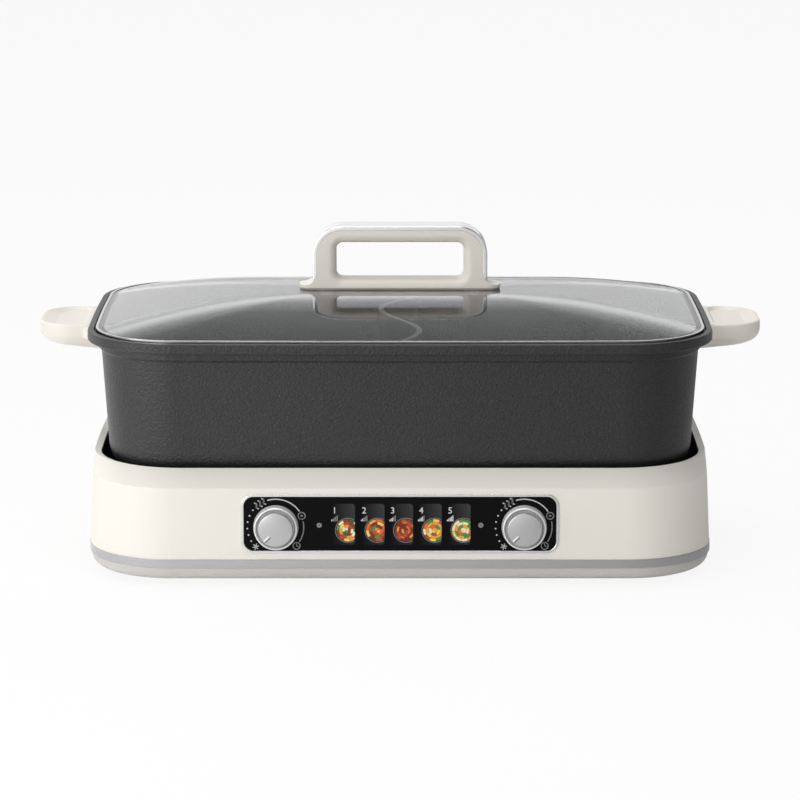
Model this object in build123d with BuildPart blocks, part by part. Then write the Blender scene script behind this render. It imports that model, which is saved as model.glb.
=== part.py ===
from build123d import *
import os
from math import atan, cos, hypot, pi, radians, sin, tan

# Electric hot pot: a heated base with two dials, a lift-off divided pot and a lift-off glass lid.
# The origin is on the table, below the middle of the base. +Z is up and -Y is the side with the dials.
# All lengths are in millimetres.

os.makedirs("parts", exist_ok=True)

# ------------------------------------------------------------------ driving dimensions

# Base housing: a shell over a shallow tray, with a bright ring between them
base_width = 458.0
base_depth = 274.0
base_corner = 63.0
side_bow = 2.5              # how far the short sides swell at their middle
shell_wall = 3.0
wall_lean = 2.6             # the side walls lean in by this much from ring to crease
foot_height = 4.8           # underside of the tray above the table
tray_height = 9.8
ring_height = 6.2
ring_proud = 0.4
ring_thickness = 1.6
crease_height = 73.6        # where the wall turns into the sloping shoulder
inner_crease_drop = 1.1
shell_height = 84.6
shoulder_front = 16.8       # how far the shoulder runs in at front and back
shoulder_corner = 70.0
rim_thickness = 2.5         # shell material above the well's top edge
tray_floor = 2.5
tray_edge_radius = 8.0

# Well: the dark tub that the pot stands in
well_rim_side = 7.8         # from the base's wall to the well
well_rim_front = 18.1
well_corner = 62.0
well_bow = 2.0
liner_setback = 0.3
liner_sheet = 1.2
liner_gap = 0.4             # between the liner and the shell around it
liner_edge_radius = 20.0
plate_top = 62.0            # the pot's underside rests here
plate_thickness = 7.0

# Heating plates, one under each half of the pot
plate_margin_side = 45.2    # from the well's edge to a plate
plate_margin_front = 40.9
plate_gap = 16.0
plate_corner = 24.0
plate_ledge = 10.0
plate_chamfer = 1.0
tube_radius = 3.3
tube_inset_side = 28.0
tube_inset_front = 30.0
tube_bend = 20.0
tube_end_gap = 26.0
tube_end_bend = 7.0
tube_end_drop = 12.0
limiter_radius = 8.0
limiter_height = 11.0
limiter_tab_pitch = 9.0
limiter_tab_width = 4.8
limiter_tab_sheet = 0.8
limiter_tab_length = 6.0
plate_screw_radius = 2.0
plate_screw_inset = 14.0
plate_screw_head = 3.8
plate_screw_head_height = 2.0
plate_screw_stop = 2.0      # plate material above a screw's hole
screw_pass_gap = 0.2        # between a shank and the sheet that it passes through
hole_end_gap = 1.0          # between a screw's tip and the end of its hole

# Heat shield and the posts that carry shield and liner
shield_height = 34.0
shield_sheet = 1.0
shield_rim = 5.0
shield_margin_side = 23.2   # from the well's edge to the shield's
shield_margin_front = 26.9
shield_corner = 20.0
shield_slot_spare = 22.0    # slot length beyond the gap between a tube's ends
shield_slot_width = 16.0
post_radius = 6.0
post_pin_radius = 3.5
post_hole_gap = 0.3
post_inset_side = 11.0      # from the shield's edge to a post
post_inset_front = 8.0

# Feet and the screws that close the base
foot_radius = 10.0
foot_recess = 1.0
foot_gap = 0.15
foot_chamfer = 0.8
foot_inset_side = 51.4
foot_inset_front = 37.0
slots_in_row = 9
slot_pitch = 11.0
slot_row_pitch = 56.0
slot_length = 40.0
slot_width = 4.0
boss_radius = 5.0
boss_height = 46.0
boss_seat = 11.0            # where tray pillar and shell boss meet
boss_gap = 0.5              # between a boss and the tray's wall
pillar_wall = 1.5           # how far a tray pillar is wider than its boss
web_thickness = 2.5         # the rib that ties a boss to the wall
web_bite = 1.5              # how far the rib reaches into the wall
screw_radius = 1.8
screw_head_radius = 3.6
screw_head_height = 2.4
screw_head_gap = 0.4
screw_head_sunk = 0.6
screw_slot = 0.9
screw_length = 22.0
thread_gap = 0.05           # between a screw's shank and its hole

# Control panel
panel_width = 229.0
panel_height = 43.8
panel_corner = 9.0
panel_middle = 47.5         # height of the panel's middle
panel_recess = 2.5
panel_backing = 3.0
bezel_width = 2.0
bezel_proud = 0.8
bezel_round = 0.5
lens_proud = 0.2
dial_pitch = 178.8
dial_height = 45.1
light_pitch = 116.4
light_height = 46.4
light_radius = 1.8

# Dials
dial_radius = 16.3
dial_rim_radius = 15.6
dial_dish_radius = 13.4
dial_gap = 0.4              # between the dial and the panel
dial_rim_reach = 7.0
dial_dish_reach = 4.6
dial_edge = 0.6             # small chamfers of the skirt
dial_lip = 0.4              # flat of the skirt's rim
cap_radius = 12.5
cap_reach = 11.2
cap_edge = 0.8
pointer_inner = 6.2
pointer_outer = 11.6
pointer_width = 1.1
pointer_height = 0.5
pointer_angle = 225.0       # at rest the pointer is at half past seven
spindle_radius = 3.0
spindle_gap = 0.05
spindle_root_gap = 0.5      # between the spindle's inner end and the control board
lens_hole_gap = 0.6
spindle_cap_cover = 2.4     # cap material in front of the spindle's end

# Electronics
board_margin = 6.5          # from the panel's end to the board's
board_height = 32.0
board_sheet = 1.6
board_bottom = 28.0
board_from_front = 14.6     # from the outer face of the shell to the board's front face
control_size = 17.0
control_corner = 1.5
board_post_radius = 3.4
board_post_inset_side = 6.0
board_post_inset_end = 4.0
board_screw_radius = 1.3
board_screw_head = 2.6
board_screw_head_height = 1.6
board_screw_depth = 6.0
board_screw_end_gap = 0.5
lamp_radius = 1.5
lamp_gap = 0.3
power_board_width = 130.0
power_board_depth = 36.0
power_board_level = 18.0
power_board_x = -95.0
power_board_from_back = 40.0
power_post_inset = 6.0
relay_width = 20.0
relay_depth = 16.0
relay_height = 13.0
relay_corner = 0.8
relay_pitch = 44.0
terminal_width = 44.0
terminal_depth = 22.0
terminal_height = 14.0
terminal_x = 92.0
terminal_from_back = 37.0
terminal_ways = 3

# Power inlet in the back wall
inlet_width = 44.0
inlet_height = 26.0
inlet_corner = 5.0
inlet_flange = 2.5
inlet_collar = 3.4
inlet_body_width = 30.0
inlet_body_height = 21.0
inlet_body_length = 26.0
inlet_mouth_width = 25.0
inlet_mouth_height = 16.4
inlet_mouth_corner = 3.0
inlet_collar_corner = 4.0
inlet_mouth_depth = 19.0
inlet_level = 40.0
inlet_gap = 0.2
pin_width = 2.0
pin_height = 4.0
pin_pitch = 7.0
pin_rise = 3.5              # the middle pin is set higher than the outer two
pin_tail = 6.0
pin_short = 3.0             # how far the pins stay behind the mouth
inlet_screw_span = 37.0
inlet_screw_head_height = 1.4
inlet_screw_depth = 6.0

# Pot
flange_past_well_side = 8.0
flange_past_well_front = 14.5
flange_corner = 66.0
flange_bow_side = 2.5
flange_bow_front = 3.0
flange_top = 177.6
flange_thickness = 7.4
flange_overhang = 9.2
flange_edge = 1.2
pot_overhang_front = 12.0
pot_corner = 58.0
pot_draft = 3.6
pot_wall = 3.6
pot_floor = 4.5
pot_bottom_radius = 34.0
collar_height = 6.0
collar_step = 1.3
collar_slope = 3.0
seat_depth = 3.0            # the step inside the flange that the lid stands in
seat_gap = 1.6
divider_thickness = 4.0
divider_top = 168.5
divider_swing = 14.5
divider_half_wave = 88.0
divider_steps = 8

# Side handles of the pot
handle_reach = 39.7
handle_width = 77.5
handle_corner = 27.0
handle_top = 174.6
handle_thickness = 19.4     # at the flange
handle_tip_thickness = 14.7
handle_belly = 9.0
handle_edge = 1.4
handle_fit = 0.15
flare_reach = 9.5           # hollow flares where a handle meets the flange
flare_length = 15.0
dish_depth = 2.4
dish_rim = 2.2
dish_flange_rim = 3.5
dish_slope = 2.0
dish_tip_slope = 10.0
dish_inner_corner = 9.0
lug_reach = 16.0
lug_width = 50.0
lug_thickness = 7.5
lug_level = 162.3
lug_screw_pitch = 30.0
lug_screw_radius = 2.0
lug_screw_head = 3.8
lug_screw_head_gap = 0.3
lug_screw_head_height = 2.2
lug_pad = 2.0               # handle material between a screw's head and the lug

# Lid
lid_inset_side = 5.9        # from the flange's edge to the lid's
lid_inset_front = 7.1
lid_corner = 60.0
lid_rim_height = 4.5
lid_rim_sheet = 0.8
lid_rim_top_lip = 1.2
lid_rim_under_lip = 5.0
glass_edge = 3.3
glass_thickness = 3.5
dome_rise = 17.3
dome_power = 1.9
crown_width = 150.0
crown_depth = 40.0
crown_corner = 16.0
crown_under_shrink = 2.0
dome_under_inset = 1.5      # from the rim's lower lip to the hollow under the dome

# Lid handle
loop_width = 130.2
loop_top = 243.8
loop_corner = 22.0
loop_depth = 24.0
grip_width = 95.0
grip_bottom = 203.8
grip_top = 231.2
grip_corner = 5.0
grip_round = 6.0
foot_plate_width = 150.4
foot_plate_height = 2.4
foot_plate_corner = 9.0
ear_flare_share = 0.72      # share of an ear that the leg's hollow flare takes
edge_round = 0.6
band_thickness = 3.1
band_edge = 1.0
gasket_thickness = 1.0
gasket_inset = 0.8
lid_screw_radius = 2.5
lid_screw_reach = 10.0
lid_screw_head = 4.5
lid_screw_head_height = 2.6
lid_hole_radius = 3.2
washer_radius = 8.0
washer_thickness = 1.5

# Steam vents in the glass, behind the lid handle
vent_pitch = 78.0
vent_y = 55.0
vent_flange_radius = 5.5
vent_flange = 0.8
vent_tube_radius = 3.2
vent_bore_radius = 2.2
vent_inner_flange_radius = 5.0
vent_seat = 0.25
vent_gap = 0.2
vent_squeeze = 0.5          # how much less than the glass lies between a vent's flanges
vent_cut = 8.0              # reach of the cuts through the glass

# ------------------------------------------------------------------ derived levels

well_width = base_width - 2 * well_rim_side
well_depth = base_depth - 2 * well_rim_front
plate_width = (well_width - 2 * plate_margin_side - plate_gap) / 2
plate_depth = well_depth - 2 * plate_margin_front
plate_pitch = plate_width + plate_gap
tube_width = plate_width - 2 * tube_inset_side
tube_depth = plate_depth - 2 * tube_inset_front
shield_width = well_width - 2 * shield_margin_side
shield_depth = well_depth - 2 * shield_margin_front
post_span_x = shield_width - 2 * post_inset_side
post_span_y = shield_depth - 2 * post_inset_front
foot_span_x = base_width - 2 * foot_inset_side
foot_span_y = base_depth - 2 * foot_inset_front
board_width = panel_width - 2 * board_margin
board_post_span_x = board_width - 2 * board_post_inset_side
board_post_span_y = board_height - 2 * board_post_inset_end
flange_width = well_width + 2 * flange_past_well_side
flange_depth = well_depth + 2 * flange_past_well_front
lid_width = flange_width - 2 * lid_inset_side
lid_depth = flange_depth - 2 * lid_inset_front
tray_top = foot_height + tray_height
ring_top = tray_top + ring_height
tray_floor_top = foot_height + tray_floor
liner_top = shell_height - rim_thickness
liner_floor = plate_top - plate_thickness
flange_bottom = flange_top - flange_thickness
seat_level = flange_top - seat_depth
lid_rim_top = seat_level + lid_rim_height
glass_bottom = seat_level + lid_rim_sheet
glass_shoulder = glass_bottom + glass_edge
crown_top = glass_shoulder + dome_rise
crown_underside = crown_top - glass_thickness
foot_plate_bottom = crown_top + gasket_thickness
foot_plate_top = foot_plate_bottom + foot_plate_height
handle_bottom = handle_top - handle_thickness
front_face = -base_depth / 2
back_face = base_depth / 2
power_board_y = back_face - power_board_from_back
terminal_y = back_face - terminal_from_back
lens_face = front_face - lens_proud
panel_floor = front_face + panel_recess
panel_back = panel_floor + panel_backing
board_face = front_face + board_from_front
board_middle = board_bottom + board_height / 2
power_post_span_x = power_board_width - 2 * power_post_inset
power_post_span_y = power_board_depth - 2 * power_post_inset


# ------------------------------------------------------------------ shared outlines

def soft_outline(width, depth, corner, bow_side, bow_front, grow=0.0):
    """A rectangle with round corners and slightly swollen sides, made larger all round by grow."""
    reach_x = width / 2 + grow
    reach_y = depth / 2 + grow
    end_x = reach_x - bow_side
    end_y = reach_y - bow_front
    with BuildSketch() as outline:
        with BuildLine():
            for turn in (-1, 1):
                here = (turn * end_x, turn * end_y)
                if bow_front:
                    ThreePointArc(here, (0, turn * reach_y), (-turn * end_x, turn * end_y))
                else:
                    Line(here, (-turn * end_x, turn * end_y))
                ThreePointArc((turn * end_x, -turn * end_y), (turn * reach_x, 0), here)
        make_face()
        fillet(outline.vertices(), corner + grow)
    return outline.sketch


def base_outline(grow=0.0, lean=0.0):
    """The base's outer wall in plan; lean draws the side walls in."""
    return soft_outline(base_width - 2 * lean, base_depth, base_corner, side_bow, 0, grow)


def shoulder_outline():
    """The upper edge of the shoulder in plan."""
    width = base_width - 2 * wall_lean
    depth = base_depth - 2 * shoulder_front
    return soft_outline(width, depth, shoulder_corner, side_bow, 0)


def well_outline(grow=0.0):
    """The mouth of the well in plan."""
    return soft_outline(well_width, well_depth, well_corner, well_bow, 0, grow)


def flange_outline(grow=0.0):
    """The pot's flange in plan."""
    return soft_outline(flange_width, flange_depth, flange_corner, flange_bow_side, flange_bow_front, grow)


def pot_outline(grow=0.0):
    """The pot's wall in plan, at the underside of the flange."""
    width = flange_width - 2 * flange_overhang
    depth = flange_depth - 2 * pot_overhang_front
    return soft_outline(width, depth, pot_corner, flange_bow_side, flange_bow_front, grow)


def lid_outline(grow=0.0):
    """The lid's metal rim in plan."""
    return soft_outline(lid_width, lid_depth, lid_corner, flange_bow_side, flange_bow_front, grow)


def corner_places(span_x, span_y):
    """The four corners of a rectangle about the origin."""
    return [(x * span_x / 2, y * span_y / 2) for x in (-1, 1) for y in (-1, 1)]


def outward(x, z, face):
    """A plane on the front of the base whose local Z points out towards the user."""
    return Plane(origin=(x, face, z), x_dir=(1, 0, 0), z_dir=(0, -1, 0))


def inward(x, z, face):
    """A plane whose local Z points from the front into the base."""
    return Plane(origin=(x, face, z), x_dir=(1, 0, 0), z_dir=(0, 1, 0))


def finish(piece, name):
    """Name a finished piece and write its file."""
    piece.part.label = name
    export_step(piece.part, f"parts/{name}.step")


dial_places = [-dial_pitch / 2, dial_pitch / 2]
light_places = [-light_pitch / 2, light_pitch / 2]
sides = [("left", -1), ("right", 1)]

# Six screws close the base: one in each corner and one at the middle of each side
boss_inset = 2 * ring_proud + shell_wall + boss_gap + boss_radius
web_length = boss_inset - shell_wall + web_bite
corner_slant = (base_corner - boss_inset) * sin(radians(45))
boss_corner_x = base_width / 2 - side_bow - base_corner + corner_slant
boss_corner_y = base_depth / 2 - base_corner + corner_slant
boss_side_x = base_width / 2 - boss_inset
boss_places = corner_places(2 * boss_corner_x, 2 * boss_corner_y) + [(-boss_side_x, 0), (boss_side_x, 0)]
boss_angles = [225, 135, -45, 45, 180, 0]
foot_places = corner_places(foot_span_x, foot_span_y)
post_places = corner_places(post_span_x, post_span_y) + [(0, -post_span_y / 2), (0, post_span_y / 2)]

# ------------------------------------------------------------------ base shell

shell_inner_crease = crease_height - inner_crease_drop

with BuildPart() as base_shell:
    # outer form: leaning wall, then sloping shoulder
    with BuildSketch(Plane.XY.offset(ring_top)):
        add(base_outline())
    with BuildSketch(Plane.XY.offset(crease_height)):
        add(base_outline(lean=wall_lean))
    loft(ruled=True)
    with BuildSketch(Plane.XY.offset(crease_height)):
        add(base_outline(lean=wall_lean))
    with BuildSketch(Plane.XY.offset(shell_height)):
        add(shoulder_outline())
    loft(ruled=True)
    # inside
    with BuildSketch(Plane.XY.offset(ring_top)):
        add(base_outline(-shell_wall))
    with BuildSketch(Plane.XY.offset(shell_inner_crease)):
        add(base_outline(-shell_wall, wall_lean))
    loft(ruled=True, mode=Mode.SUBTRACT)
    with BuildSketch(Plane.XY.offset(shell_inner_crease)):
        add(base_outline(-shell_wall, wall_lean))
    with BuildSketch(Plane.XY.offset(liner_top)):
        add(well_outline(liner_setback + liner_sheet + liner_gap))
    loft(ruled=True, mode=Mode.SUBTRACT)
    # mouth of the well
    with BuildSketch(Plane.XY.offset(liner_top)):
        add(well_outline())
    extrude(amount=rim_thickness, mode=Mode.SUBTRACT)
    # spigot that the ring slips over
    with BuildSketch(Plane.XY.offset(tray_top)):
        add(base_outline(-ring_thickness + ring_proud))
        add(base_outline(-shell_wall), mode=Mode.SUBTRACT)
    extrude(amount=ring_height)
    # thicker wall behind the panel, the panel's pocket and its holes
    with BuildSketch(inward(0, panel_middle, front_face + shell_wall / 2)):
        Rectangle(panel_width + 2 * shell_wall, panel_height + shell_wall)
    extrude(amount=panel_back - front_face - shell_wall / 2)
    with BuildSketch(inward(0, panel_middle, front_face)):
        RectangleRounded(panel_width, panel_height, panel_corner)
    extrude(amount=panel_recess, mode=Mode.SUBTRACT)
    for x in dial_places:
        with BuildSketch(inward(x, dial_height, front_face)):
            Circle(spindle_radius + lens_hole_gap)
        extrude(amount=panel_back - front_face, mode=Mode.SUBTRACT)
    for x in light_places:
        with BuildSketch(inward(x, light_height, front_face)):
            Circle(light_radius + thread_gap)
        extrude(amount=panel_back - front_face, mode=Mode.SUBTRACT)
    # stand-offs for the control board
    with BuildSketch(inward(0, board_middle, panel_back)):
        with Locations(*corner_places(board_post_span_x, board_post_span_y)):
            Circle(board_post_radius)
    extrude(amount=board_face - panel_back)
    with BuildSketch(inward(0, board_middle, board_face - board_screw_depth)):
        with Locations(*corner_places(board_post_span_x, board_post_span_y)):
            Circle(board_screw_radius + thread_gap)
    extrude(amount=board_screw_depth, mode=Mode.SUBTRACT)
    # bosses for the screws that come up through the tray
    with BuildSketch(Plane.XY.offset(boss_seat)):
        with Locations(*boss_places):
            Circle(boss_radius)
    extrude(amount=boss_height - boss_seat)
    with BuildSketch(Plane.XY.offset(ring_top)):
        for (x, y), angle in zip(boss_places, boss_angles):
            with Locations(Location((x, y), angle)):
                Rectangle(web_length, web_thickness, align=(Align.MIN, Align.CENTER))
    extrude(amount=boss_height - ring_top)
    with BuildSketch(Plane.XY.offset(boss_seat)):
        with Locations(*boss_places):
            Circle(screw_radius + thread_gap)
    extrude(amount=screw_length, mode=Mode.SUBTRACT)
    # opening for the power inlet, with its two screw holes
    with BuildSketch(inward(0, inlet_level, back_face - 2 * shell_wall)):
        Rectangle(inlet_body_width + 2 * inlet_gap, inlet_body_height + 2 * inlet_gap)
        with Locations((-inlet_screw_span / 2, 0), (inlet_screw_span / 2, 0)):
            Circle(board_screw_radius + thread_gap)
    extrude(amount=3 * shell_wall, mode=Mode.SUBTRACT)
finish(base_shell, "base_shell")

# ------------------------------------------------------------------ base tray

with BuildPart() as tray_space:
    with BuildSketch(Plane.XY.offset(tray_floor_top)):
        add(base_outline(-2 * ring_proud - shell_wall))
    extrude(amount=tray_height)
    fillet(tray_space.faces().sort_by(Axis.Z)[0].edges(), tray_edge_radius - tray_floor)

with BuildPart() as base_tray:
    with BuildSketch(Plane.XY.offset(foot_height)):
        add(base_outline(-2 * ring_proud))
    extrude(amount=tray_height)
    fillet(base_tray.faces().sort_by(Axis.Z)[0].edges(), tray_edge_radius)
    add(tray_space.part, mode=Mode.SUBTRACT)
    # pillars under the shell's bosses, counterbored from below
    with BuildSketch(Plane.XY.offset(tray_floor_top)):
        with Locations(*boss_places):
            Circle(boss_radius + pillar_wall)
    extrude(amount=boss_seat - tray_floor_top)
    with Locations(*[Location((x, y, foot_height), (180, 0, 0)) for x, y in boss_places]):
        CounterBoreHole(
            screw_radius + screw_pass_gap,
            screw_head_radius + screw_head_gap,
            screw_head_height + screw_head_sunk,
            boss_seat,
        )
    # posts that carry the heat shield on their shoulders and the liner on their ends
    with BuildSketch(Plane.XY.offset(tray_floor_top)):
        with Locations(*post_places):
            Circle(post_radius)
    extrude(amount=shield_height - tray_floor_top)
    with BuildSketch(Plane.XY.offset(shield_height)):
        with Locations(*post_places):
            Circle(post_pin_radius)
    extrude(amount=liner_floor - liner_sheet - shield_height)
    # stands for the power board
    with BuildSketch(Plane.XY.offset(tray_floor_top)):
        with Locations((power_board_x, power_board_y)):
            with GridLocations(power_post_span_x, power_post_span_y, 2, 2):
                Circle(board_post_radius)
    extrude(amount=power_board_level - tray_floor_top)
    # recesses for the feet
    with BuildSketch(Plane.XY.offset(foot_height)):
        with Locations(*foot_places):
            Circle(foot_radius + foot_gap)
    extrude(amount=foot_recess, mode=Mode.SUBTRACT)
    # cooling slots
    with BuildSketch(Plane.XY.offset(foot_height)):
        for x in (-plate_pitch / 2, plate_pitch / 2):
            with Locations((x, 0)):
                with GridLocations(slot_pitch, slot_row_pitch, slots_in_row, 2):
                    SlotOverall(slot_length, slot_width, rotation=90)
    extrude(amount=tray_floor, mode=Mode.SUBTRACT)
finish(base_tray, "base_tray")

with BuildPart() as trim_ring:
    with BuildSketch(Plane.XY.offset(tray_top)):
        add(base_outline(ring_proud))
        add(base_outline(-ring_thickness + ring_proud), mode=Mode.SUBTRACT)
    extrude(amount=ring_height)
finish(trim_ring, "trim_ring")

with BuildPart() as foot_pads:
    with BuildSketch():
        with Locations(*foot_places):
            Circle(foot_radius)
    extrude(amount=foot_height + foot_recess)
    chamfer(foot_pads.faces().group_by(Axis.Z)[0].edges(), foot_chamfer)
finish(foot_pads, "foot_pads")

with BuildPart() as base_screws:
    head_seat = foot_height + screw_head_height + screw_head_sunk
    for x, y in boss_places:
        with BuildSketch(Plane(origin=(x, y, head_seat - screw_head_height))):
            Circle(screw_head_radius)
        extrude(amount=screw_head_height)
        with BuildSketch(Plane(origin=(x, y, head_seat))):
            Circle(screw_radius)
        extrude(amount=screw_length)
    with BuildSketch(Plane.XY.offset(head_seat - screw_head_height)):
        with Locations(*boss_places):
            Rectangle(screw_head_radius, screw_slot)
            Rectangle(screw_slot, screw_head_radius)
    extrude(amount=screw_head_height / 2, mode=Mode.SUBTRACT)
finish(base_screws, "base_screws")

# ------------------------------------------------------------------ well liner, heating plates

plate_places = [(-plate_pitch / 2, 0), (plate_pitch / 2, 0)]
plate_screw_places = corner_places(plate_width - plate_screw_inset, plate_depth - plate_screw_inset)
screw_spots = [(px + x, py + y) for px, py in plate_places for x, y in plate_screw_places]

with BuildPart() as liner_space:
    with BuildSketch(Plane.XY.offset(liner_floor)):
        add(well_outline(liner_setback))
    extrude(amount=liner_top - liner_floor)
    fillet(liner_space.faces().sort_by(Axis.Z)[0].edges(), liner_edge_radius)

with BuildPart() as well_liner:
    with BuildSketch(Plane.XY.offset(liner_floor - liner_sheet)):
        add(well_outline(liner_setback + liner_sheet))
    extrude(amount=liner_top - liner_floor + liner_sheet)
    fillet(well_liner.faces().sort_by(Axis.Z)[0].edges(), liner_edge_radius + liner_sheet)
    add(liner_space.part, mode=Mode.SUBTRACT)
    with BuildSketch(Plane.XY.offset(liner_floor - liner_sheet)):
        with Locations(*plate_places):
            RectangleRounded(
                plate_width - 2 * plate_ledge,
                plate_depth - 2 * plate_ledge,
                plate_corner - plate_ledge,
            )
        with Locations(*screw_spots):
            Circle(plate_screw_radius + screw_pass_gap)
    extrude(amount=liner_sheet, mode=Mode.SUBTRACT)
finish(well_liner, "well_liner")


def tube_path(x):
    """One open loop of tube in the plane of the plate's underside, with both ends turned down."""
    reach_x = tube_width / 2
    reach_y = tube_depth / 2
    low = liner_floor - tube_end_drop - tube_end_bend
    points = [
        (x - tube_end_gap / 2, reach_y, low),
        (x - tube_end_gap / 2, reach_y, liner_floor),
        (x - reach_x, reach_y, liner_floor),
        (x - reach_x, -reach_y, liner_floor),
        (x + reach_x, -reach_y, liner_floor),
        (x + reach_x, reach_y, liner_floor),
        (x + tube_end_gap / 2, reach_y, liner_floor),
        (x + tube_end_gap / 2, reach_y, low),
    ]
    radii = [tube_end_bend, tube_bend, tube_bend, tube_bend, tube_bend, tube_end_bend]
    return points, radii


for name, side in sides:
    plate_x = side * plate_pitch / 2
    route, route_radii = tube_path(plate_x)

    with BuildPart() as heating_tube:
        with BuildLine() as tube_line:
            FilletPolyline(*route, radius=route_radii)
        with BuildSketch(Plane(origin=route[0], z_dir=(0, 0, 1))):
            Circle(tube_radius)
        sweep(path=tube_line.wires()[0])
    finish(heating_tube, f"heating_tube_{name}")

    with BuildPart() as heating_plate:
        with BuildSketch(Plane.XY.offset(liner_floor)):
            with Locations((plate_x, 0)):
                RectangleRounded(plate_width, plate_depth, plate_corner)
        extrude(amount=plate_thickness)
        chamfer(heating_plate.faces().sort_by(Axis.Z)[-1].edges(), plate_chamfer)
        with BuildSketch(Plane.XY.offset(liner_floor)):
            with Locations(*[(plate_x + x, y) for x, y in plate_screw_places]):
                Circle(plate_screw_radius + thread_gap)
        extrude(amount=plate_thickness - plate_screw_stop, mode=Mode.SUBTRACT)
        add(heating_tube.part, mode=Mode.SUBTRACT)
    finish(heating_plate, f"heating_plate_{name}")

    with BuildPart() as limiter:
        with BuildSketch(Plane.XY.offset(liner_floor - limiter_height)):
            with Locations((plate_x, 0)):
                Circle(limiter_radius)
        extrude(amount=limiter_height)
        with BuildSketch(Plane.XY.offset(liner_floor - limiter_height)):
            with Locations((plate_x, 0)):
                with GridLocations(limiter_tab_pitch, 0, 2, 1):
                    Rectangle(limiter_tab_sheet, limiter_tab_width)
        extrude(amount=-limiter_tab_length)
    finish(limiter, f"heat_limiter_{name}")

with BuildPart() as plate_screws:
    for x, y in screw_spots:
        with BuildSketch(Plane(origin=(x, y, liner_floor - liner_sheet - plate_screw_head_height))):
            RegularPolygon(plate_screw_head, 6)
        extrude(amount=plate_screw_head_height)
        with BuildSketch(Plane(origin=(x, y, liner_floor - liner_sheet))):
            Circle(plate_screw_radius)
        extrude(amount=liner_sheet + plate_thickness - plate_screw_stop - hole_end_gap)
finish(plate_screws, "plate_screws")

with BuildPart() as heat_shield:
    with BuildSketch(Plane.XY.offset(shield_height)):
        RectangleRounded(shield_width, shield_depth, shield_corner)
    extrude(amount=shield_sheet + shield_rim)
    with BuildSketch(Plane.XY.offset(shield_height + shield_sheet)):
        RectangleRounded(
            shield_width - 2 * shield_sheet,
            shield_depth - 2 * shield_sheet,
            shield_corner - shield_sheet,
        )
    extrude(amount=shield_rim, mode=Mode.SUBTRACT)
    with BuildSketch(Plane.XY.offset(shield_height)):
        with Locations(*post_places):
            Circle(post_pin_radius + post_hole_gap)
        for x, y in plate_places:
            with Locations((x, tube_depth / 2)):
                SlotOverall(tube_end_gap + shield_slot_spare, shield_slot_width)
    extrude(amount=shield_sheet, mode=Mode.SUBTRACT)
finish(heat_shield, "heat_shield")

# ------------------------------------------------------------------ control panel

with BuildPart() as panel_bezel:
    with BuildSketch(outward(0, panel_middle, panel_floor)):
        RectangleRounded(panel_width, panel_height, panel_corner)
        RectangleRounded(
            panel_width - 2 * bezel_width,
            panel_height - 2 * bezel_width,
            panel_corner - bezel_width,
            mode=Mode.SUBTRACT,
        )
    extrude(amount=panel_recess + bezel_proud)
    fillet(panel_bezel.faces().sort_by(Axis.Y)[0].edges(), bezel_round)
finish(panel_bezel, "panel_bezel")

with BuildPart() as panel_lens:
    with BuildSketch(outward(0, panel_middle, panel_floor)):
        RectangleRounded(
            panel_width - 2 * bezel_width,
            panel_height - 2 * bezel_width,
            panel_corner - bezel_width,
        )
    extrude(amount=panel_recess + lens_proud)
    for x in dial_places:
        with BuildSketch(outward(x, dial_height, panel_floor)):
            Circle(spindle_radius + lens_hole_gap)
        extrude(amount=panel_recess + lens_proud, mode=Mode.SUBTRACT)
    for x in light_places:
        with BuildSketch(outward(x, light_height, panel_floor)):
            Circle(light_radius + thread_gap)
        extrude(amount=panel_recess + lens_proud, mode=Mode.SUBTRACT)
finish(panel_lens, "panel_lens")

lamp_length = board_face - panel_back - lamp_gap
for (name, side), x in zip(sides, light_places):
    with BuildPart() as indicator:
        with BuildSketch(inward(x, light_height, lens_face)):
            Circle(light_radius)
        extrude(amount=panel_back - lens_face)
    finish(indicator, f"indicator_{name}")

with BuildPart() as status_lamps:
    for x in light_places:
        with BuildSketch(outward(x, light_height, board_face)):
            Circle(lamp_radius)
        extrude(amount=lamp_length)
finish(status_lamps, "status_lamps")

with BuildPart() as control_board:
    with BuildSketch(inward(0, board_middle, board_face)):
        Rectangle(board_width, board_height)
        with Locations(*corner_places(board_post_span_x, board_post_span_y)):
            Circle(board_screw_radius + thread_gap, mode=Mode.SUBTRACT)
    extrude(amount=board_sheet)
finish(control_board, "control_board")

with BuildPart() as board_screws:
    board_back = board_face + board_sheet
    for x, z in corner_places(board_post_span_x, board_post_span_y):
        shank = board_screw_depth - board_screw_end_gap
        with BuildSketch(inward(x, board_middle + z, board_face - shank)):
            Circle(board_screw_radius)
        extrude(amount=shank + board_sheet)
        with BuildSketch(inward(x, board_middle + z, board_back)):
            Circle(board_screw_head)
        extrude(amount=board_screw_head_height)
finish(board_screws, "board_screws")

for (name, side), x in zip(sides, dial_places):
    with BuildPart() as rotary_control:
        with BuildSketch(inward(x, dial_height, panel_back)):
            RectangleRounded(control_size, control_size, control_corner)
            Circle(spindle_radius + spindle_gap, mode=Mode.SUBTRACT)
        extrude(amount=board_face - panel_back)
    finish(rotary_control, f"rotary_control_{name}")

# ------------------------------------------------------------------ dials

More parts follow.
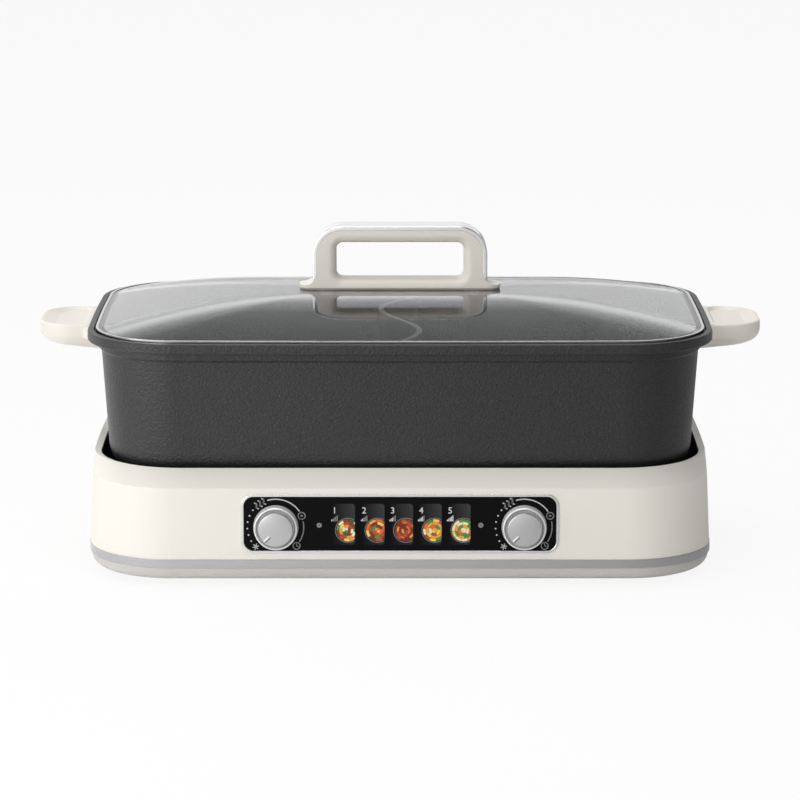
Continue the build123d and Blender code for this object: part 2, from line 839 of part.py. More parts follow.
spindle_length = cap_reach - spindle_cap_cover
for (name, side), x in zip(sides, dial_places):
    turning_axis = Axis((x, lens_face, dial_height), (0, -1, 0))
    # local X is the radius, local Y points out of the panel
    section = Plane(origin=(x, lens_face, dial_height), x_dir=(1, 0, 0), z_dir=(0, 0, -1))

    with BuildPart() as dial_skirt:
        with BuildSketch(section):
            with BuildLine():
                Polyline(
                    (spindle_radius, dial_gap),
                    (dial_radius, dial_gap),
                    (dial_radius, dial_gap + dial_edge),
                    (dial_rim_radius, dial_rim_reach - dial_edge),
                    (dial_rim_radius - dial_edge, dial_rim_reach),
                    (dial_rim_radius - dial_edge - dial_lip, dial_rim_reach),
                    (dial_dish_radius, dial_dish_reach + dial_edge),
                    (dial_dish_radius - dial_lip, dial_dish_reach),
                    (spindle_radius, dial_dish_reach),
                    close=True,
                )
            make_face()
        revolve(axis=turning_axis)
    finish(dial_skirt, f"dial_skirt_{name}")

    with BuildPart() as dial_cap:
        with BuildSketch(outward(x, dial_height, lens_face - dial_dish_reach)):
            Circle(cap_radius)
        extrude(amount=cap_reach - dial_dish_reach)
        fillet(dial_cap.faces().sort_by(Axis.Y)[0].edges(), cap_edge)
        with BuildSketch(outward(x, dial_height, lens_face - dial_dish_reach)):
            Circle(spindle_radius)
        extrude(amount=spindle_length - dial_dish_reach, mode=Mode.SUBTRACT)
        # raised pointer
        pointer_middle = (pointer_inner + pointer_outer) / 2
        with BuildSketch(outward(x, dial_height, lens_face - cap_reach)):
            with Locations(Location((
                pointer_middle * cos(radians(pointer_angle)),
                pointer_middle * sin(radians(pointer_angle)),
            ), pointer_angle)):
                SlotOverall(pointer_outer - pointer_inner, pointer_width)
        extrude(amount=pointer_height)
    finish(dial_cap, f"dial_cap_{name}")

    with BuildPart() as dial_spindle:
        spindle_root = board_face - spindle_root_gap
        with BuildSketch(outward(x, dial_height, spindle_root)):
            Circle(spindle_radius)
        extrude(amount=spindle_root - lens_face + spindle_length)
    finish(dial_spindle, f"dial_spindle_{name}")

# ------------------------------------------------------------------ power supply

with BuildPart() as power_board:
    with BuildSketch(Plane.XY.offset(power_board_level)):
        with Locations((power_board_x, power_board_y)):
            Rectangle(power_board_width, power_board_depth)
    extrude(amount=board_sheet)
finish(power_board, "power_board")

with BuildPart() as relays:
    with BuildSketch(Plane.XY.offset(power_board_level + board_sheet)):
        with Locations((power_board_x, power_board_y)):
            with GridLocations(relay_pitch, 0, 2, 1):
                RectangleRounded(relay_width, relay_depth, relay_corner)
    extrude(amount=relay_height)
finish(relays, "relays")

with BuildPart() as terminal_block:
    with BuildSketch(Plane.XY.offset(tray_floor_top)):
        with Locations((terminal_x, terminal_y)):
            Rectangle(terminal_width, terminal_depth)
    extrude(amount=terminal_height)
    way_pitch = terminal_width / terminal_ways
    with BuildSketch(Plane.XY.offset(tray_floor_top + terminal_height)):
        with Locations((terminal_x, terminal_y)):
            with GridLocations(way_pitch, 0, terminal_ways, 1):
                Circle(way_pitch / 4)
    extrude(amount=-terminal_height / 2, mode=Mode.SUBTRACT)
finish(terminal_block, "terminal_block")

with BuildPart() as power_inlet:
    with BuildSketch(inward(0, inlet_level, back_face)):
        RectangleRounded(inlet_width, inlet_height, inlet_corner)
    extrude(amount=inlet_flange)
    with BuildSketch(inward(0, inlet_level, back_face + inlet_flange)):
        RectangleRounded(inlet_body_width, inlet_body_height, inlet_collar_corner)
    extrude(amount=inlet_collar)
    with BuildSketch(inward(0, inlet_level, back_face + inlet_flange - inlet_body_length)):
        Rectangle(inlet_body_width, inlet_body_height)
    extrude(amount=inlet_body_length)
    mouth_face = back_face + inlet_flange + inlet_collar
    with BuildSketch(inward(0, inlet_level, mouth_face - inlet_mouth_depth)):
        RectangleRounded(inlet_mouth_width, inlet_mouth_height, inlet_mouth_corner)
    extrude(amount=inlet_mouth_depth, mode=Mode.SUBTRACT)
    with BuildSketch(inward(0, inlet_level, back_face)):
        with Locations((-inlet_screw_span / 2, 0), (inlet_screw_span / 2, 0)):
            Circle(board_screw_radius + screw_pass_gap)
    extrude(amount=inlet_flange, mode=Mode.SUBTRACT)
    inlet_rear = back_face + inlet_flange - inlet_body_length
    with BuildSketch(inward(0, inlet_level, inlet_rear)):
        with Locations((-pin_pitch, 0), (0, -pin_rise), (pin_pitch, 0)):
            Rectangle(pin_width, pin_height)
    extrude(amount=inlet_body_length, mode=Mode.SUBTRACT)
finish(power_inlet, "power_inlet")

with BuildPart() as inlet_pins:
    with BuildSketch(inward(0, inlet_level, inlet_rear - pin_tail)):
        with Locations((-pin_pitch, 0), (0, -pin_rise), (pin_pitch, 0)):
            Rectangle(pin_width, pin_height)
    extrude(amount=pin_tail + mouth_face - inlet_rear - pin_short)
finish(inlet_pins, "inlet_pins")

with BuildPart() as inlet_screws:
    for x in (-inlet_screw_span / 2, inlet_screw_span / 2):
        with BuildSketch(inward(x, inlet_level, back_face + inlet_flange)):
            Circle(board_screw_head)
        extrude(amount=inlet_screw_head_height)
        with BuildSketch(inward(x, inlet_level, back_face - inlet_screw_depth)):
            Circle(board_screw_radius)
        extrude(amount=inlet_screw_depth + inlet_flange)
finish(inlet_screws, "inlet_screws")

# ------------------------------------------------------------------ pot

draft_run = tan(radians(pot_draft))
inner_floor = plate_top + pot_floor

divider_reach = flange_depth / 2 - pot_overhang_front


def divider_edge(side):
    """Points along one face of the wavy divider; side is -1 or 1."""
    points = []
    for step in range(-divider_steps, divider_steps + 1):
        y = divider_reach * step / divider_steps
        x = -divider_swing * sin(pi * y / divider_half_wave)
        slope = -divider_swing * pi / divider_half_wave * cos(pi * y / divider_half_wave)
        reach = side * divider_thickness / 2 / hypot(1, slope)
        points.append((x + reach, y - reach * slope))
    return points


with BuildPart() as divider_band:
    with BuildSketch(Plane.XY.offset(plate_top)):
        with BuildLine():
            left_edge = Spline(*divider_edge(-1))
            right_edge = Spline(*divider_edge(1))
            Line(left_edge @ 0, right_edge @ 0)
            Line(left_edge @ 1, right_edge @ 1)
        make_face()
    extrude(amount=divider_top - plate_top)

with BuildPart() as pot_space:
    with BuildSketch(Plane.XY.offset(inner_floor)):
        add(pot_outline(-pot_wall - (flange_bottom - inner_floor) * draft_run))
    with BuildSketch(Plane.XY.offset(flange_top)):
        add(pot_outline(-pot_wall + flange_thickness * draft_run))
    loft(ruled=True)
    fillet(pot_space.faces().sort_by(Axis.Z)[0].edges(), pot_bottom_radius - pot_wall)
    add(divider_band.part, mode=Mode.SUBTRACT)


with BuildPart() as pot:
    # flange
    with BuildSketch(Plane.XY.offset(flange_bottom)):
        add(flange_outline())
    extrude(amount=flange_thickness)
    fillet(pot.faces().sort_by(Axis.Z)[-1].edges(), flange_edge)
    fillet(pot.faces().sort_by(Axis.Z)[0].edges(), flange_edge)
    # wall, and the stepped collar at its top
    with BuildSketch(Plane.XY.offset(plate_top)):
        add(pot_outline(-(flange_bottom - plate_top) * draft_run))
    with BuildSketch(Plane.XY.offset(flange_bottom)):
        add(pot_outline())
    loft(ruled=True)
    fillet(pot.faces().sort_by(Axis.Z)[0].edges(), pot_bottom_radius)
    with BuildSketch(Plane.XY.offset(flange_bottom - collar_height)):
        add(pot_outline(collar_step))
    extrude(amount=collar_height)
    with BuildSketch(Plane.XY.offset(flange_bottom - collar_height)):
        add(pot_outline(collar_step))
    with BuildSketch(Plane.XY.offset(flange_bottom - collar_height - collar_slope)):
        add(pot_outline(-collar_step))
    loft(ruled=True)
    # lugs that the side handles slip over
    for _, side in sides:
        with BuildSketch(Plane.XY.offset(lug_level)):
            with Locations((side * (flange_width / 2 - flange_overhang), 0)):
                Rectangle(2 * (lug_reach + flange_overhang), lug_width)
        extrude(amount=lug_thickness)
    add(pot_space.part, mode=Mode.SUBTRACT)
    # step for the lid
    with BuildSketch(Plane.XY.offset(seat_level)):
        add(lid_outline(seat_gap))
    extrude(amount=seat_depth, mode=Mode.SUBTRACT)
    for _, side in sides:
        with BuildSketch(Plane.XY.offset(lug_level)):
            with Locations((side * (flange_width / 2 + lug_reach / 2), 0)):
                with GridLocations(0, lug_screw_pitch, 1, 2):
                    Circle(lug_screw_radius + thread_gap)
        extrude(amount=lug_thickness, mode=Mode.SUBTRACT)
finish(pot, "pot")

# ------------------------------------------------------------------ side handles

lug_screw_x = flange_width / 2 + lug_reach / 2
handle_root_x = flange_width / 2 - flange_overhang + collar_step + handle_fit
handle_tip_x = flange_width / 2 + handle_reach


def dish_outline(side, slope, tip_slope):
    """One level of the dish in a side handle's top, drawn in by slope, and at the tip by tip_slope."""
    inner_x = flange_width / 2 + dish_flange_rim + slope
    outer_x = handle_tip_x - dish_rim - tip_slope
    with BuildSketch() as outline:
        with Locations((side * (inner_x + outer_x) / 2, 0)):
            Rectangle(outer_x - inner_x, handle_width - 2 * dish_rim - 2 * slope)
        fillet(outline.vertices().group_by(Axis.X)[-1 if side > 0 else 0], handle_corner - dish_rim - tip_slope)
        fillet(outline.vertices().group_by(Axis.X)[0 if side > 0 else -1], dish_inner_corner - slope)
    return outline.sketch


with BuildPart() as flange_clearance:
    with BuildSketch(Plane.XY.offset(flange_bottom - handle_fit)):
        add(flange_outline(handle_fit))
    extrude(amount=2 * handle_thickness)

for name, side in sides:
    flare_x = flange_width / 2 - flange_bow_side
    with BuildPart() as pot_handle:
        with BuildSketch(Plane.XY.offset(handle_bottom)) as handle_plan:
            with Locations((side * (handle_root_x + handle_tip_x) / 2, 0)):
                Rectangle(handle_tip_x - handle_root_x, handle_width)
            fillet(handle_plan.vertices().group_by(Axis.X)[-1 if side > 0 else 0], handle_corner)
        extrude(amount=handle_thickness)
        # underside that rises towards the tip
        with BuildSketch(Plane.XZ):
            with BuildLine():
                Polyline(
                    (side * handle_root_x, handle_bottom),
                    (side * handle_tip_x, handle_top - handle_tip_thickness),
                    (side * (handle_tip_x + handle_edge), handle_top - handle_tip_thickness),
                    (side * (handle_tip_x + handle_edge), handle_bottom - handle_edge),
                    close=True,
                )
            make_face()
        extrude(amount=handle_width, both=True, mode=Mode.SUBTRACT)
        low_edges = pot_handle.faces().sort_by(Axis.Z)[0].edges()
        fillet([edge for edge in low_edges if abs(edge.center().X) > handle_root_x + 1], handle_belly)
        top_edges = pot_handle.faces().sort_by(Axis.Z)[-1].edges()
        fillet([edge for edge in top_edges if abs(edge.center().X) > handle_root_x + 1], handle_edge)
        # hollow flares where the handle meets the flange
        with BuildSketch(Plane.XY.offset(handle_bottom + handle_belly)):
            for turn in (-1, 1):
                with Locations((side * (flare_x + flare_reach / 2), turn * (handle_width + flare_length) / 2)):
                    Rectangle(flare_reach, flare_length)
                with Locations((side * (flare_x + flare_reach), turn * (handle_width / 2 + flare_length))):
                    Ellipse(flare_reach, flare_length, mode=Mode.SUBTRACT)
        extrude(amount=handle_thickness - handle_belly - handle_edge)
        # dished top
        with BuildSketch(Plane.XY.offset(handle_top)):
            add(dish_outline(side, 0, 0))
        with BuildSketch(Plane.XY.offset(handle_top - dish_depth)):
            add(dish_outline(side, dish_slope, dish_tip_slope))
        loft(ruled=True, mode=Mode.SUBTRACT)
        add(flange_clearance.part, mode=Mode.SUBTRACT)
        # socket for the pot's lug
        with BuildSketch(Plane.XY.offset(lug_level - handle_fit)):
            with Locations((side * flange_width / 2, 0)):
                Rectangle(2 * (lug_reach + handle_fit), lug_width + 2 * handle_fit)
        extrude(amount=lug_thickness + 2 * handle_fit, mode=Mode.SUBTRACT)
        # screw holes, counterbored from below
        with BuildSketch(Plane.XY.offset(handle_bottom)):
            with Locations((side * lug_screw_x, 0)):
                with GridLocations(0, lug_screw_pitch, 1, 2):
                    Circle(lug_screw_head + lug_screw_head_gap)
        extrude(amount=lug_level - lug_pad - handle_bottom, mode=Mode.SUBTRACT)
        with BuildSketch(Plane.XY.offset(lug_level - lug_pad)):
            with Locations((side * lug_screw_x, 0)):
                with GridLocations(0, lug_screw_pitch, 1, 2):
                    Circle(lug_screw_radius + screw_pass_gap)
        extrude(amount=lug_pad, mode=Mode.SUBTRACT)
    finish(pot_handle, f"pot_handle_{name}")

with BuildPart() as pot_handle_screws:
    for _, side in sides:
        for y in (-lug_screw_pitch / 2, lug_screw_pitch / 2):
            x = side * lug_screw_x
            with BuildSketch(Plane(origin=(x, y, lug_level - lug_pad - lug_screw_head_height))):
                Circle(lug_screw_head)
            extrude(amount=lug_screw_head_height)
            with BuildSketch(Plane(origin=(x, y, lug_level - lug_pad))):
                Circle(lug_screw_radius)
            extrude(amount=lug_pad + lug_thickness - hole_end_gap)
finish(pot_handle_screws, "pot_handle_screws")

# ------------------------------------------------------------------ lid

def dome_level(inset):
    """Share of the dome's rise at a share of the way in from the rim to the crown."""
    return 1 - (1 - inset) ** dome_power


def dome(rim_grow, bottom, rise, shrink):
    """A solid dome from the lid's outline up to its flat crown."""
    with BuildPart() as solid:
        for inset in (0, 0.08, 0.2, 0.4, 0.65):
            keep = 1 - inset
            width = crown_width - shrink + (lid_width + 2 * rim_grow - crown_width + shrink) * keep
            depth = crown_depth - shrink + (lid_depth + 2 * rim_grow - crown_depth + shrink) * keep
            corner = crown_corner + (lid_corner + rim_grow - crown_corner) * keep
            with BuildSketch(Plane.XY.offset(bottom + rise * dome_level(inset))):
                add(soft_outline(width, depth, corner, flange_bow_side * keep, flange_bow_front * keep))
        with BuildSketch(Plane.XY.offset(bottom + rise)):
            RectangleRounded(crown_width - shrink, crown_depth - shrink, crown_corner)
        loft()
    return solid.part


vent_inset = (lid_depth / 2 - lid_rim_top_lip - lid_rim_sheet - vent_y) / ((lid_depth - crown_depth) / 2)
vent_z = glass_shoulder + dome_rise * dome_level(vent_inset)
vent_slope = dome_rise * dome_power * (1 - vent_inset) ** (dome_power - 1) / ((lid_depth - crown_depth) / 2)
vent_tilt = atan(vent_slope)
vent_planes = [
    Plane(origin=(x, vent_y, vent_z - vent_seat), x_dir=(1, 0, 0), z_dir=(0, sin(vent_tilt), cos(vent_tilt)))
    for x in (-vent_pitch / 2, vent_pitch / 2)
]
vent_grip = glass_thickness - vent_squeeze
leg_middle = (grip_width / 2 + loop_width / 2 - band_thickness) / 2
lid_screw_places = [(-leg_middle, 0), (leg_middle, 0)]
dome_outside = dome(-lid_rim_sheet - lid_rim_top_lip, glass_shoulder, dome_rise, 0)
under_grow = -lid_rim_under_lip - dome_under_inset
dome_inside = dome(under_grow, glass_bottom, crown_underside - glass_bottom, crown_under_shrink)

with BuildPart() as lid_glass:
    with BuildSketch(Plane.XY.offset(glass_bottom)):
        add(lid_outline(-lid_rim_sheet))
    extrude(amount=glass_edge)
    add(dome_outside)
    add(dome_inside, mode=Mode.SUBTRACT)
    with BuildSketch(Plane.XY.offset(crown_top)):
        with Locations(*lid_screw_places):
            Circle(lid_hole_radius)
    extrude(amount=-2 * glass_thickness, mode=Mode.SUBTRACT)
    for vent_plane in vent_planes:
        with BuildSketch(vent_plane):
            Circle(vent_flange_radius + vent_gap)
        extrude(amount=vent_cut, mode=Mode.SUBTRACT)
        with BuildSketch(vent_plane):
            Circle(vent_tube_radius + thread_gap)
        extrude(amount=-vent_cut, mode=Mode.SUBTRACT)
        with BuildSketch(vent_plane.offset(-vent_grip)):
            Circle(vent_flange_radius + vent_gap)
        extrude(amount=-vent_cut, mode=Mode.SUBTRACT)
finish(lid_glass, "lid_glass")

with BuildPart() as lid_rim:
    with BuildSketch(Plane.XY.offset(seat_level)):
        add(lid_outline())
        add(lid_outline(-lid_rim_under_lip), mode=Mode.SUBTRACT)
    extrude(amount=lid_rim_sheet)
    with BuildSketch(Plane.XY.offset(glass_bottom)):
        add(lid_outline())
        add(lid_outline(-lid_rim_sheet), mode=Mode.SUBTRACT)
    extrude(amount=glass_edge)
    with BuildSketch(Plane.XY.offset(glass_shoulder)):
        add(lid_outline())
        add(lid_outline(-lid_rim_sheet - lid_rim_top_lip), mode=Mode.SUBTRACT)
    extrude(amount=lid_rim_height - glass_edge - lid_rim_sheet)
finish(lid_rim, "lid_rim")

with BuildPart() as steam_vents:
    for vent_plane in vent_planes:
        with BuildSketch(vent_plane):
            Circle(vent_flange_radius)
        extrude(amount=vent_flange)
        with BuildSketch(vent_plane.offset(-vent_grip)):
            Circle(vent_tube_radius)
        extrude(amount=vent_grip)
        with BuildSketch(vent_plane.offset(-vent_grip - vent_flange)):
            Circle(vent_inner_flange_radius)
        extrude(amount=vent_flange)
        with BuildSketch(vent_plane.offset(vent_flange)):
            Circle(vent_bore_radius)
        extrude(amount=-vent_grip - 3 * vent_flange, mode=Mode.SUBTRACT)
finish(steam_vents, "steam_vents")

# ------------------------------------------------------------------ lid handle

loop_height = loop_top - foot_plate_bottom
ear_flare = ear_flare_share * (foot_plate_width / 2 - loop_width / 2 + band_thickness)


def loop_outline(inset=0.0):
    """The loop seen from the front, drawn in by inset, with its legs down to the foot plate."""
    with BuildSketch() as outline:
        with Locations((0, foot_plate_bottom)):
            Rectangle(loop_width - 2 * inset, loop_height - inset, align=(Align.CENTER, Align.MIN))
        fillet(outline.vertices().group_by(Axis.Y)[-1], loop_corner - inset)
    return outline.sketch


with BuildPart() as lid_handle:
    with BuildSketch(Plane.XZ) as handle_profile:
        add(loop_outline(band_thickness))
        with Locations((0, foot_plate_bottom)):
            Rectangle(foot_plate_width, foot_plate_height, align=(Align.CENTER, Align.MIN))
        ears = [
            corner for corner in handle_profile.vertices()
            if abs(corner.Y - foot_plate_top) < 0.01 and abs(corner.X) < loop_width / 2
        ]
        fillet(ears, ear_flare)
    extrude(amount=loop_depth / 2, both=True)
    # rounded ends of the foot plate
    with BuildSketch(Plane.XY.offset(foot_plate_bottom)):
        Rectangle(foot_plate_width + 2, loop_depth + 2)
        RectangleRounded(foot_plate_width, loop_depth, foot_plate_corner, mode=Mode.SUBTRACT)
    extrude(amount=foot_plate_height + ear_flare, mode=Mode.SUBTRACT)
    # finger opening
    with BuildSketch(Plane.XZ):
        with Locations((0, (grip_bottom + grip_top) / 2)):
            RectangleRounded(grip_width, grip_top - grip_bottom, grip_corner)
    extrude(amount=loop_depth, both=True, mode=Mode.SUBTRACT)
    front_and_back = lid_handle.faces().filter_by(Axis.Y).group_by(Axis.Y)
    grip_wires = [wire for face in front_and_back[0] + front_and_back[-1] for wire in face.inner_wires()]
    fillet([edge for wire in grip_wires for edge in wire.edges()], grip_round)
    # softened lower edge of the foot plate
    low_face = lid_handle.faces().sort_by(Axis.Z)[0]
    fillet(low_face.outer_wire().edges(), edge_round)
    # screw holes
    with BuildSketch(Plane.XY.offset(foot_plate_bottom)):
        with Locations(*lid_screw_places):
            Circle(lid_screw_radius + thread_gap)
    extrude(amount=lid_screw_reach + hole_end_gap, mode=Mode.SUBTRACT)
finish(lid_handle, "lid_handle")

with BuildPart() as lid_handle_band:
    with BuildSketch(Plane.XZ):
        add(loop_outline())
    extrude(amount=loop_depth / 2, both=True)
    front_and_back = lid_handle_band.faces().filter_by(Axis.Y)
    outer_edges = [edge for edge in front_and_back.edges() if edge.center().Z > foot_plate_top]
    fillet(outer_edges, band_edge)
    with BuildSketch(Plane.XZ):
        add(handle_profile.sketch_local)
    extrude(amount=loop_depth, both=True, mode=Mode.SUBTRACT)
finish(lid_handle_band, "lid_handle_band")

with BuildPart() as handle_gasket:
    with BuildSketch(Plane.XY.offset(crown_top)):
        gasket_corner = foot_plate_corner - gasket_inset
        RectangleRounded(foot_plate_width - 2 * gasket_inset, loop_depth - 2 * gasket_inset, gasket_corner)
        with Locations(*lid_screw_places):
            Circle(lid_screw_radius + screw_pass_gap, mode=Mode.SUBTRACT)
    extrude(amount=gasket_thickness)
finish(handle_gasket, "handle_gasket")

with BuildPart() as lid_washers:
    for x, y in lid_screw_places:
        with BuildSketch(Plane(origin=(x, y, crown_underside - washer_thickness))):
            Circle(washer_radius)
            Circle(lid_screw_radius + screw_pass_gap, mode=Mode.SUBTRACT)
        extrude(amount=washer_thickness)
finish(lid_washers, "lid_washers")

with BuildPart() as lid_screws:
    for x, y in lid_screw_places:
        under_washer = crown_underside - washer_thickness
        with BuildSketch(Plane(origin=(x, y, under_washer - lid_screw_head_height))):
            Circle(lid_screw_head)
        extrude(amount=lid_screw_head_height)
        with BuildSketch(Plane(origin=(x, y, under_washer))):
            Circle(lid_screw_radius)
        extrude(amount=foot_plate_bottom + lid_screw_reach - under_washer)
finish(lid_screws, "lid_screws")
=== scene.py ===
from math import cos, pi, radians, sin

import bmesh
import bpy
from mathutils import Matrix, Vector


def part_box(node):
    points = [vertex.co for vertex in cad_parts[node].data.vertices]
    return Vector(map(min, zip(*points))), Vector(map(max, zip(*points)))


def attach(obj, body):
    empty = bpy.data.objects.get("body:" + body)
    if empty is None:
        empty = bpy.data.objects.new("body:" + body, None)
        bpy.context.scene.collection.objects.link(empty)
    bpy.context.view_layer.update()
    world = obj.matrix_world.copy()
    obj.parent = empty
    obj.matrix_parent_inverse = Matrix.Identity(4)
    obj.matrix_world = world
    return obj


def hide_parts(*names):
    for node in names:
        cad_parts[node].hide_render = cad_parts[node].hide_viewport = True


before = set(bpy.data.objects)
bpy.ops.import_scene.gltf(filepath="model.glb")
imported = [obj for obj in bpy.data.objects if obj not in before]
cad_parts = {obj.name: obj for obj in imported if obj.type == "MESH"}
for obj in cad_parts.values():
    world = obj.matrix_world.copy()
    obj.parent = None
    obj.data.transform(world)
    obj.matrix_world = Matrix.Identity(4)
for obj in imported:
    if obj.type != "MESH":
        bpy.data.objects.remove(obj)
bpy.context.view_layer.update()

# ---------------------------------------------------------------- base tray
# The shallow tray that closes the base from below, with cooling slots in its floor. It is moulded
# in light grey ABS, a little darker than the housing, and screwed on from below.
mm = 0.001


def linear(hex_colour):
    """An sRGB hex colour as the linear colour that Blender's sockets take."""
    parts = [int(hex_colour[i:i + 2], 16) / 255 for i in (1, 3, 5)]
    return [c / 12.92 if c <= 0.04045 else ((c + 0.055) / 1.055) ** 2.4 for c in parts] + [1.0]


def add(tree, kind, settings=(), links=()):
    """One shader node with its settings, by input or property name, and the sockets that feed it."""
    made = tree.nodes.new("ShaderNode" + kind)
    for name, value in dict(settings).items():
        if isinstance(name, int) or name in made.inputs:
            made.inputs[name].default_value = value
        else:
            setattr(made, name, value)
    for name, source in dict(links).items():
        tree.links.new(source, made.inputs[name])
    return made


def start_material(name, settings):
    """A new material: its node tree, its shader and the object's own coordinates in metres."""
    material = bpy.data.materials.new(name)
    material.use_nodes = True
    tree = material.node_tree
    shader = tree.nodes["Principled BSDF"]
    for socket, value in settings.items():
        shader.inputs[socket].default_value = value
    place = add(tree, "TexCoord").outputs["Object"]
    return material, tree, shader, place


def dress(material, *names):
    """Gives CAD nodes their material."""
    for name in names:
        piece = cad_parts[name]
        piece.data.materials.clear()
        piece.data.materials.append(material)


def moulded_plastic(name, light, dark, roughness, grain_size, grain_depth):
    """Injection-moulded plastic. The spark-eroded mould leaves a fine even grain that breaks up the
    highlights, and the colour drifts very slightly over the length of the piece. Real grain is about
    0.05 mm, too fine to show, so it is drawn ten to twenty times as coarse."""
    material, tree, shader, place = start_material(name, {"IOR": 1.5, "Roughness": roughness})
    drift = add(tree, "TexNoise", {"Scale": 1 / (90 * mm), "Detail": 2}, {"Vector": place})
    tone = add(tree, "Mix", {"data_type": "RGBA", 6: linear(light), 7: linear(dark)},
               {0: drift.outputs["Fac"]})
    tree.links.new(tone.outputs[2], shader.inputs["Base Color"])
    grain = add(tree, "TexNoise", {"Scale": 1 / grain_size, "Detail": 3}, {"Vector": place})
    shine = add(tree, "MapRange", {"To Min": roughness - 0.04, "To Max": roughness + 0.06},
                {"Value": grain.outputs["Fac"]})
    tree.links.new(shine.outputs["Result"], shader.inputs["Roughness"])
    edge = add(tree, "Bevel", {"Radius": 0.5 * mm, "samples": 4})
    relief = add(tree, "Bump", {"Strength": 0.6, "Distance": grain_depth},
                 {"Height": grain.outputs["Fac"], "Normal": edge.outputs["Normal"]})
    tree.links.new(relief.outputs["Normal"], shader.inputs["Normal"])
    return material


grey_abs = moulded_plastic("moulded_abs_grey", "#CFCCC7", "#C8C5C0", 0.42, 0.5 * mm, 0.02 * mm)
dress(grey_abs, "base_tray")

# ---------------------------------------------------------------- feet
# Four round pads pressed into recesses of the tray. They are moulded silicone rubber, which is dull
# and takes a fine dust-like bloom.
rubber, tree, shader, place = start_material("moulded_silicone_rubber", {
    "IOR": 1.45, "Roughness": 0.75,
})
bloom = add(tree, "TexNoise", {"Scale": 1 / (1.5 * mm), "Detail": 4}, {"Vector": place})
tone = add(tree, "Mix", {"data_type": "RGBA", 6: linear("#BDBAB4"), 7: linear("#CFCCC6")},
           {0: bloom.outputs["Fac"]})
tree.links.new(tone.outputs[2], shader.inputs["Base Color"])
relief = add(tree, "Bump", {"Strength": 0.4, "Distance": 0.03 * mm}, {"Height": bloom.outputs["Fac"]})
tree.links.new(relief.outputs["Normal"], shader.inputs["Normal"])
dress(rubber, "foot_pads")

# ---------------------------------------------------------------- bright ring
# A band between tray and housing, rolled from steel strip and polished along its length, so its
# reflections are stretched up and down.


def drawn_metal(name, light, dark, roughness, line_gap, along, metallic=1.0, edge_round=0.25 * mm):
    """Metal that was rolled, drawn or brushed: fine lines run along one axis and smear highlights.
    Real lines are about 0.1 mm apart, so they are drawn several times as coarse, to show at all."""
    material, tree, shader, place = start_material(name, {"Metallic": metallic, "Roughness": roughness})
    stretch = [0.02 if axis == along else 1.0 for axis in "xyz"]
    lined = add(tree, "Mapping", {"Scale": stretch}, {"Vector": place})
    lines = add(tree, "TexNoise", {"Scale": 1 / line_gap, "Detail": 3},
                {"Vector": lined.outputs["Vector"]})
    tone = add(tree, "Mix", {"data_type": "RGBA", 6: linear(light), 7: linear(dark)},
               {0: lines.outputs["Fac"]})
    tree.links.new(tone.outputs[2], shader.inputs["Base Color"])
    shine = add(tree, "MapRange", {"To Min": roughness - 0.05, "To Max": roughness + 0.08},
                {"Value": lines.outputs["Fac"]})
    tree.links.new(shine.outputs["Result"], shader.inputs["Roughness"])
    edge = add(tree, "Bevel", {"Radius": edge_round, "samples": 6})
    relief = add(tree, "Bump", {"Strength": 0.25, "Distance": 0.01 * mm},
                 {"Height": lines.outputs["Fac"], "Normal": edge.outputs["Normal"]})
    tree.links.new(relief.outputs["Normal"], shader.inputs["Normal"])
    return material


strip_steel = drawn_metal("polished_steel_strip", "#C2C2C3", "#B2B2B3", 0.22, 0.6 * mm, "x")
dress(strip_steel, "trim_ring")

# ---------------------------------------------------------------- base housing
# The outer shell: one moulding in warm cream ABS with a satin, finely grained face, with the well
# for the pot in its top and the pocket for the control panel in its front.
cream_abs = moulded_plastic("moulded_abs_cream", "#F1EDE5", "#EDE8DF", 0.38, 0.45 * mm, 0.012 * mm)
dress(cream_abs, "base_shell")

# ---------------------------------------------------------------- screws
# Zinc-plated steel screws of the base, the boards, the inlet, the side handles and the lid. Plating
# gives a bright, slightly bluish grey with soft spots.
zinc, tree, shader, place = start_material("zinc_plated_steel", {"Metallic": 1.0, "Roughness": 0.3})
spangle = add(tree, "TexVoronoi", {"Scale": 1 / (0.8 * mm)}, {"Vector": place})
tone = add(tree, "Mix", {"data_type": "RGBA", 6: linear("#C6C9CC"), 7: linear("#AEB2B6")},
           {0: spangle.outputs["Distance"]})
tree.links.new(tone.outputs[2], shader.inputs["Base Color"])
shine = add(tree, "MapRange", {"To Min": 0.24, "To Max": 0.42}, {"Value": spangle.outputs["Distance"]})
tree.links.new(shine.outputs["Result"], shader.inputs["Roughness"])
dress(zinc, "base_screws", "plate_screws", "board_screws", "inlet_screws", "pot_handle_screws",
      "lid_screws")

# ---------------------------------------------------------------- well liner
# The tub that the pot stands in, pressed from sheet steel and coated with dark heat-proof paint,
# which dries with a faint orange peel and greys unevenly with heat.
liner_paint, tree, shader, place = start_material("sprayed_heatproof_paint", {
    "IOR": 1.5, "Roughness": 0.4,
})
peel = add(tree, "TexNoise", {"Scale": 1 / (2.2 * mm), "Detail": 2}, {"Vector": place})
soot = add(tree, "TexNoise", {"Scale": 1 / (35 * mm), "Detail": 4}, {"Vector": place})
tone = add(tree, "Mix", {"data_type": "RGBA", 6: linear("#2C2C2D"), 7: linear("#39393A")},
           {0: soot.outputs["Fac"]})
tree.links.new(tone.outputs[2], shader.inputs["Base Color"])
relief = add(tree, "Bump", {"Strength": 0.35, "Distance": 0.05 * mm}, {"Height": peel.outputs["Fac"]})
tree.links.new(relief.outputs["Normal"], shader.inputs["Normal"])
dress(liner_paint, "well_liner")

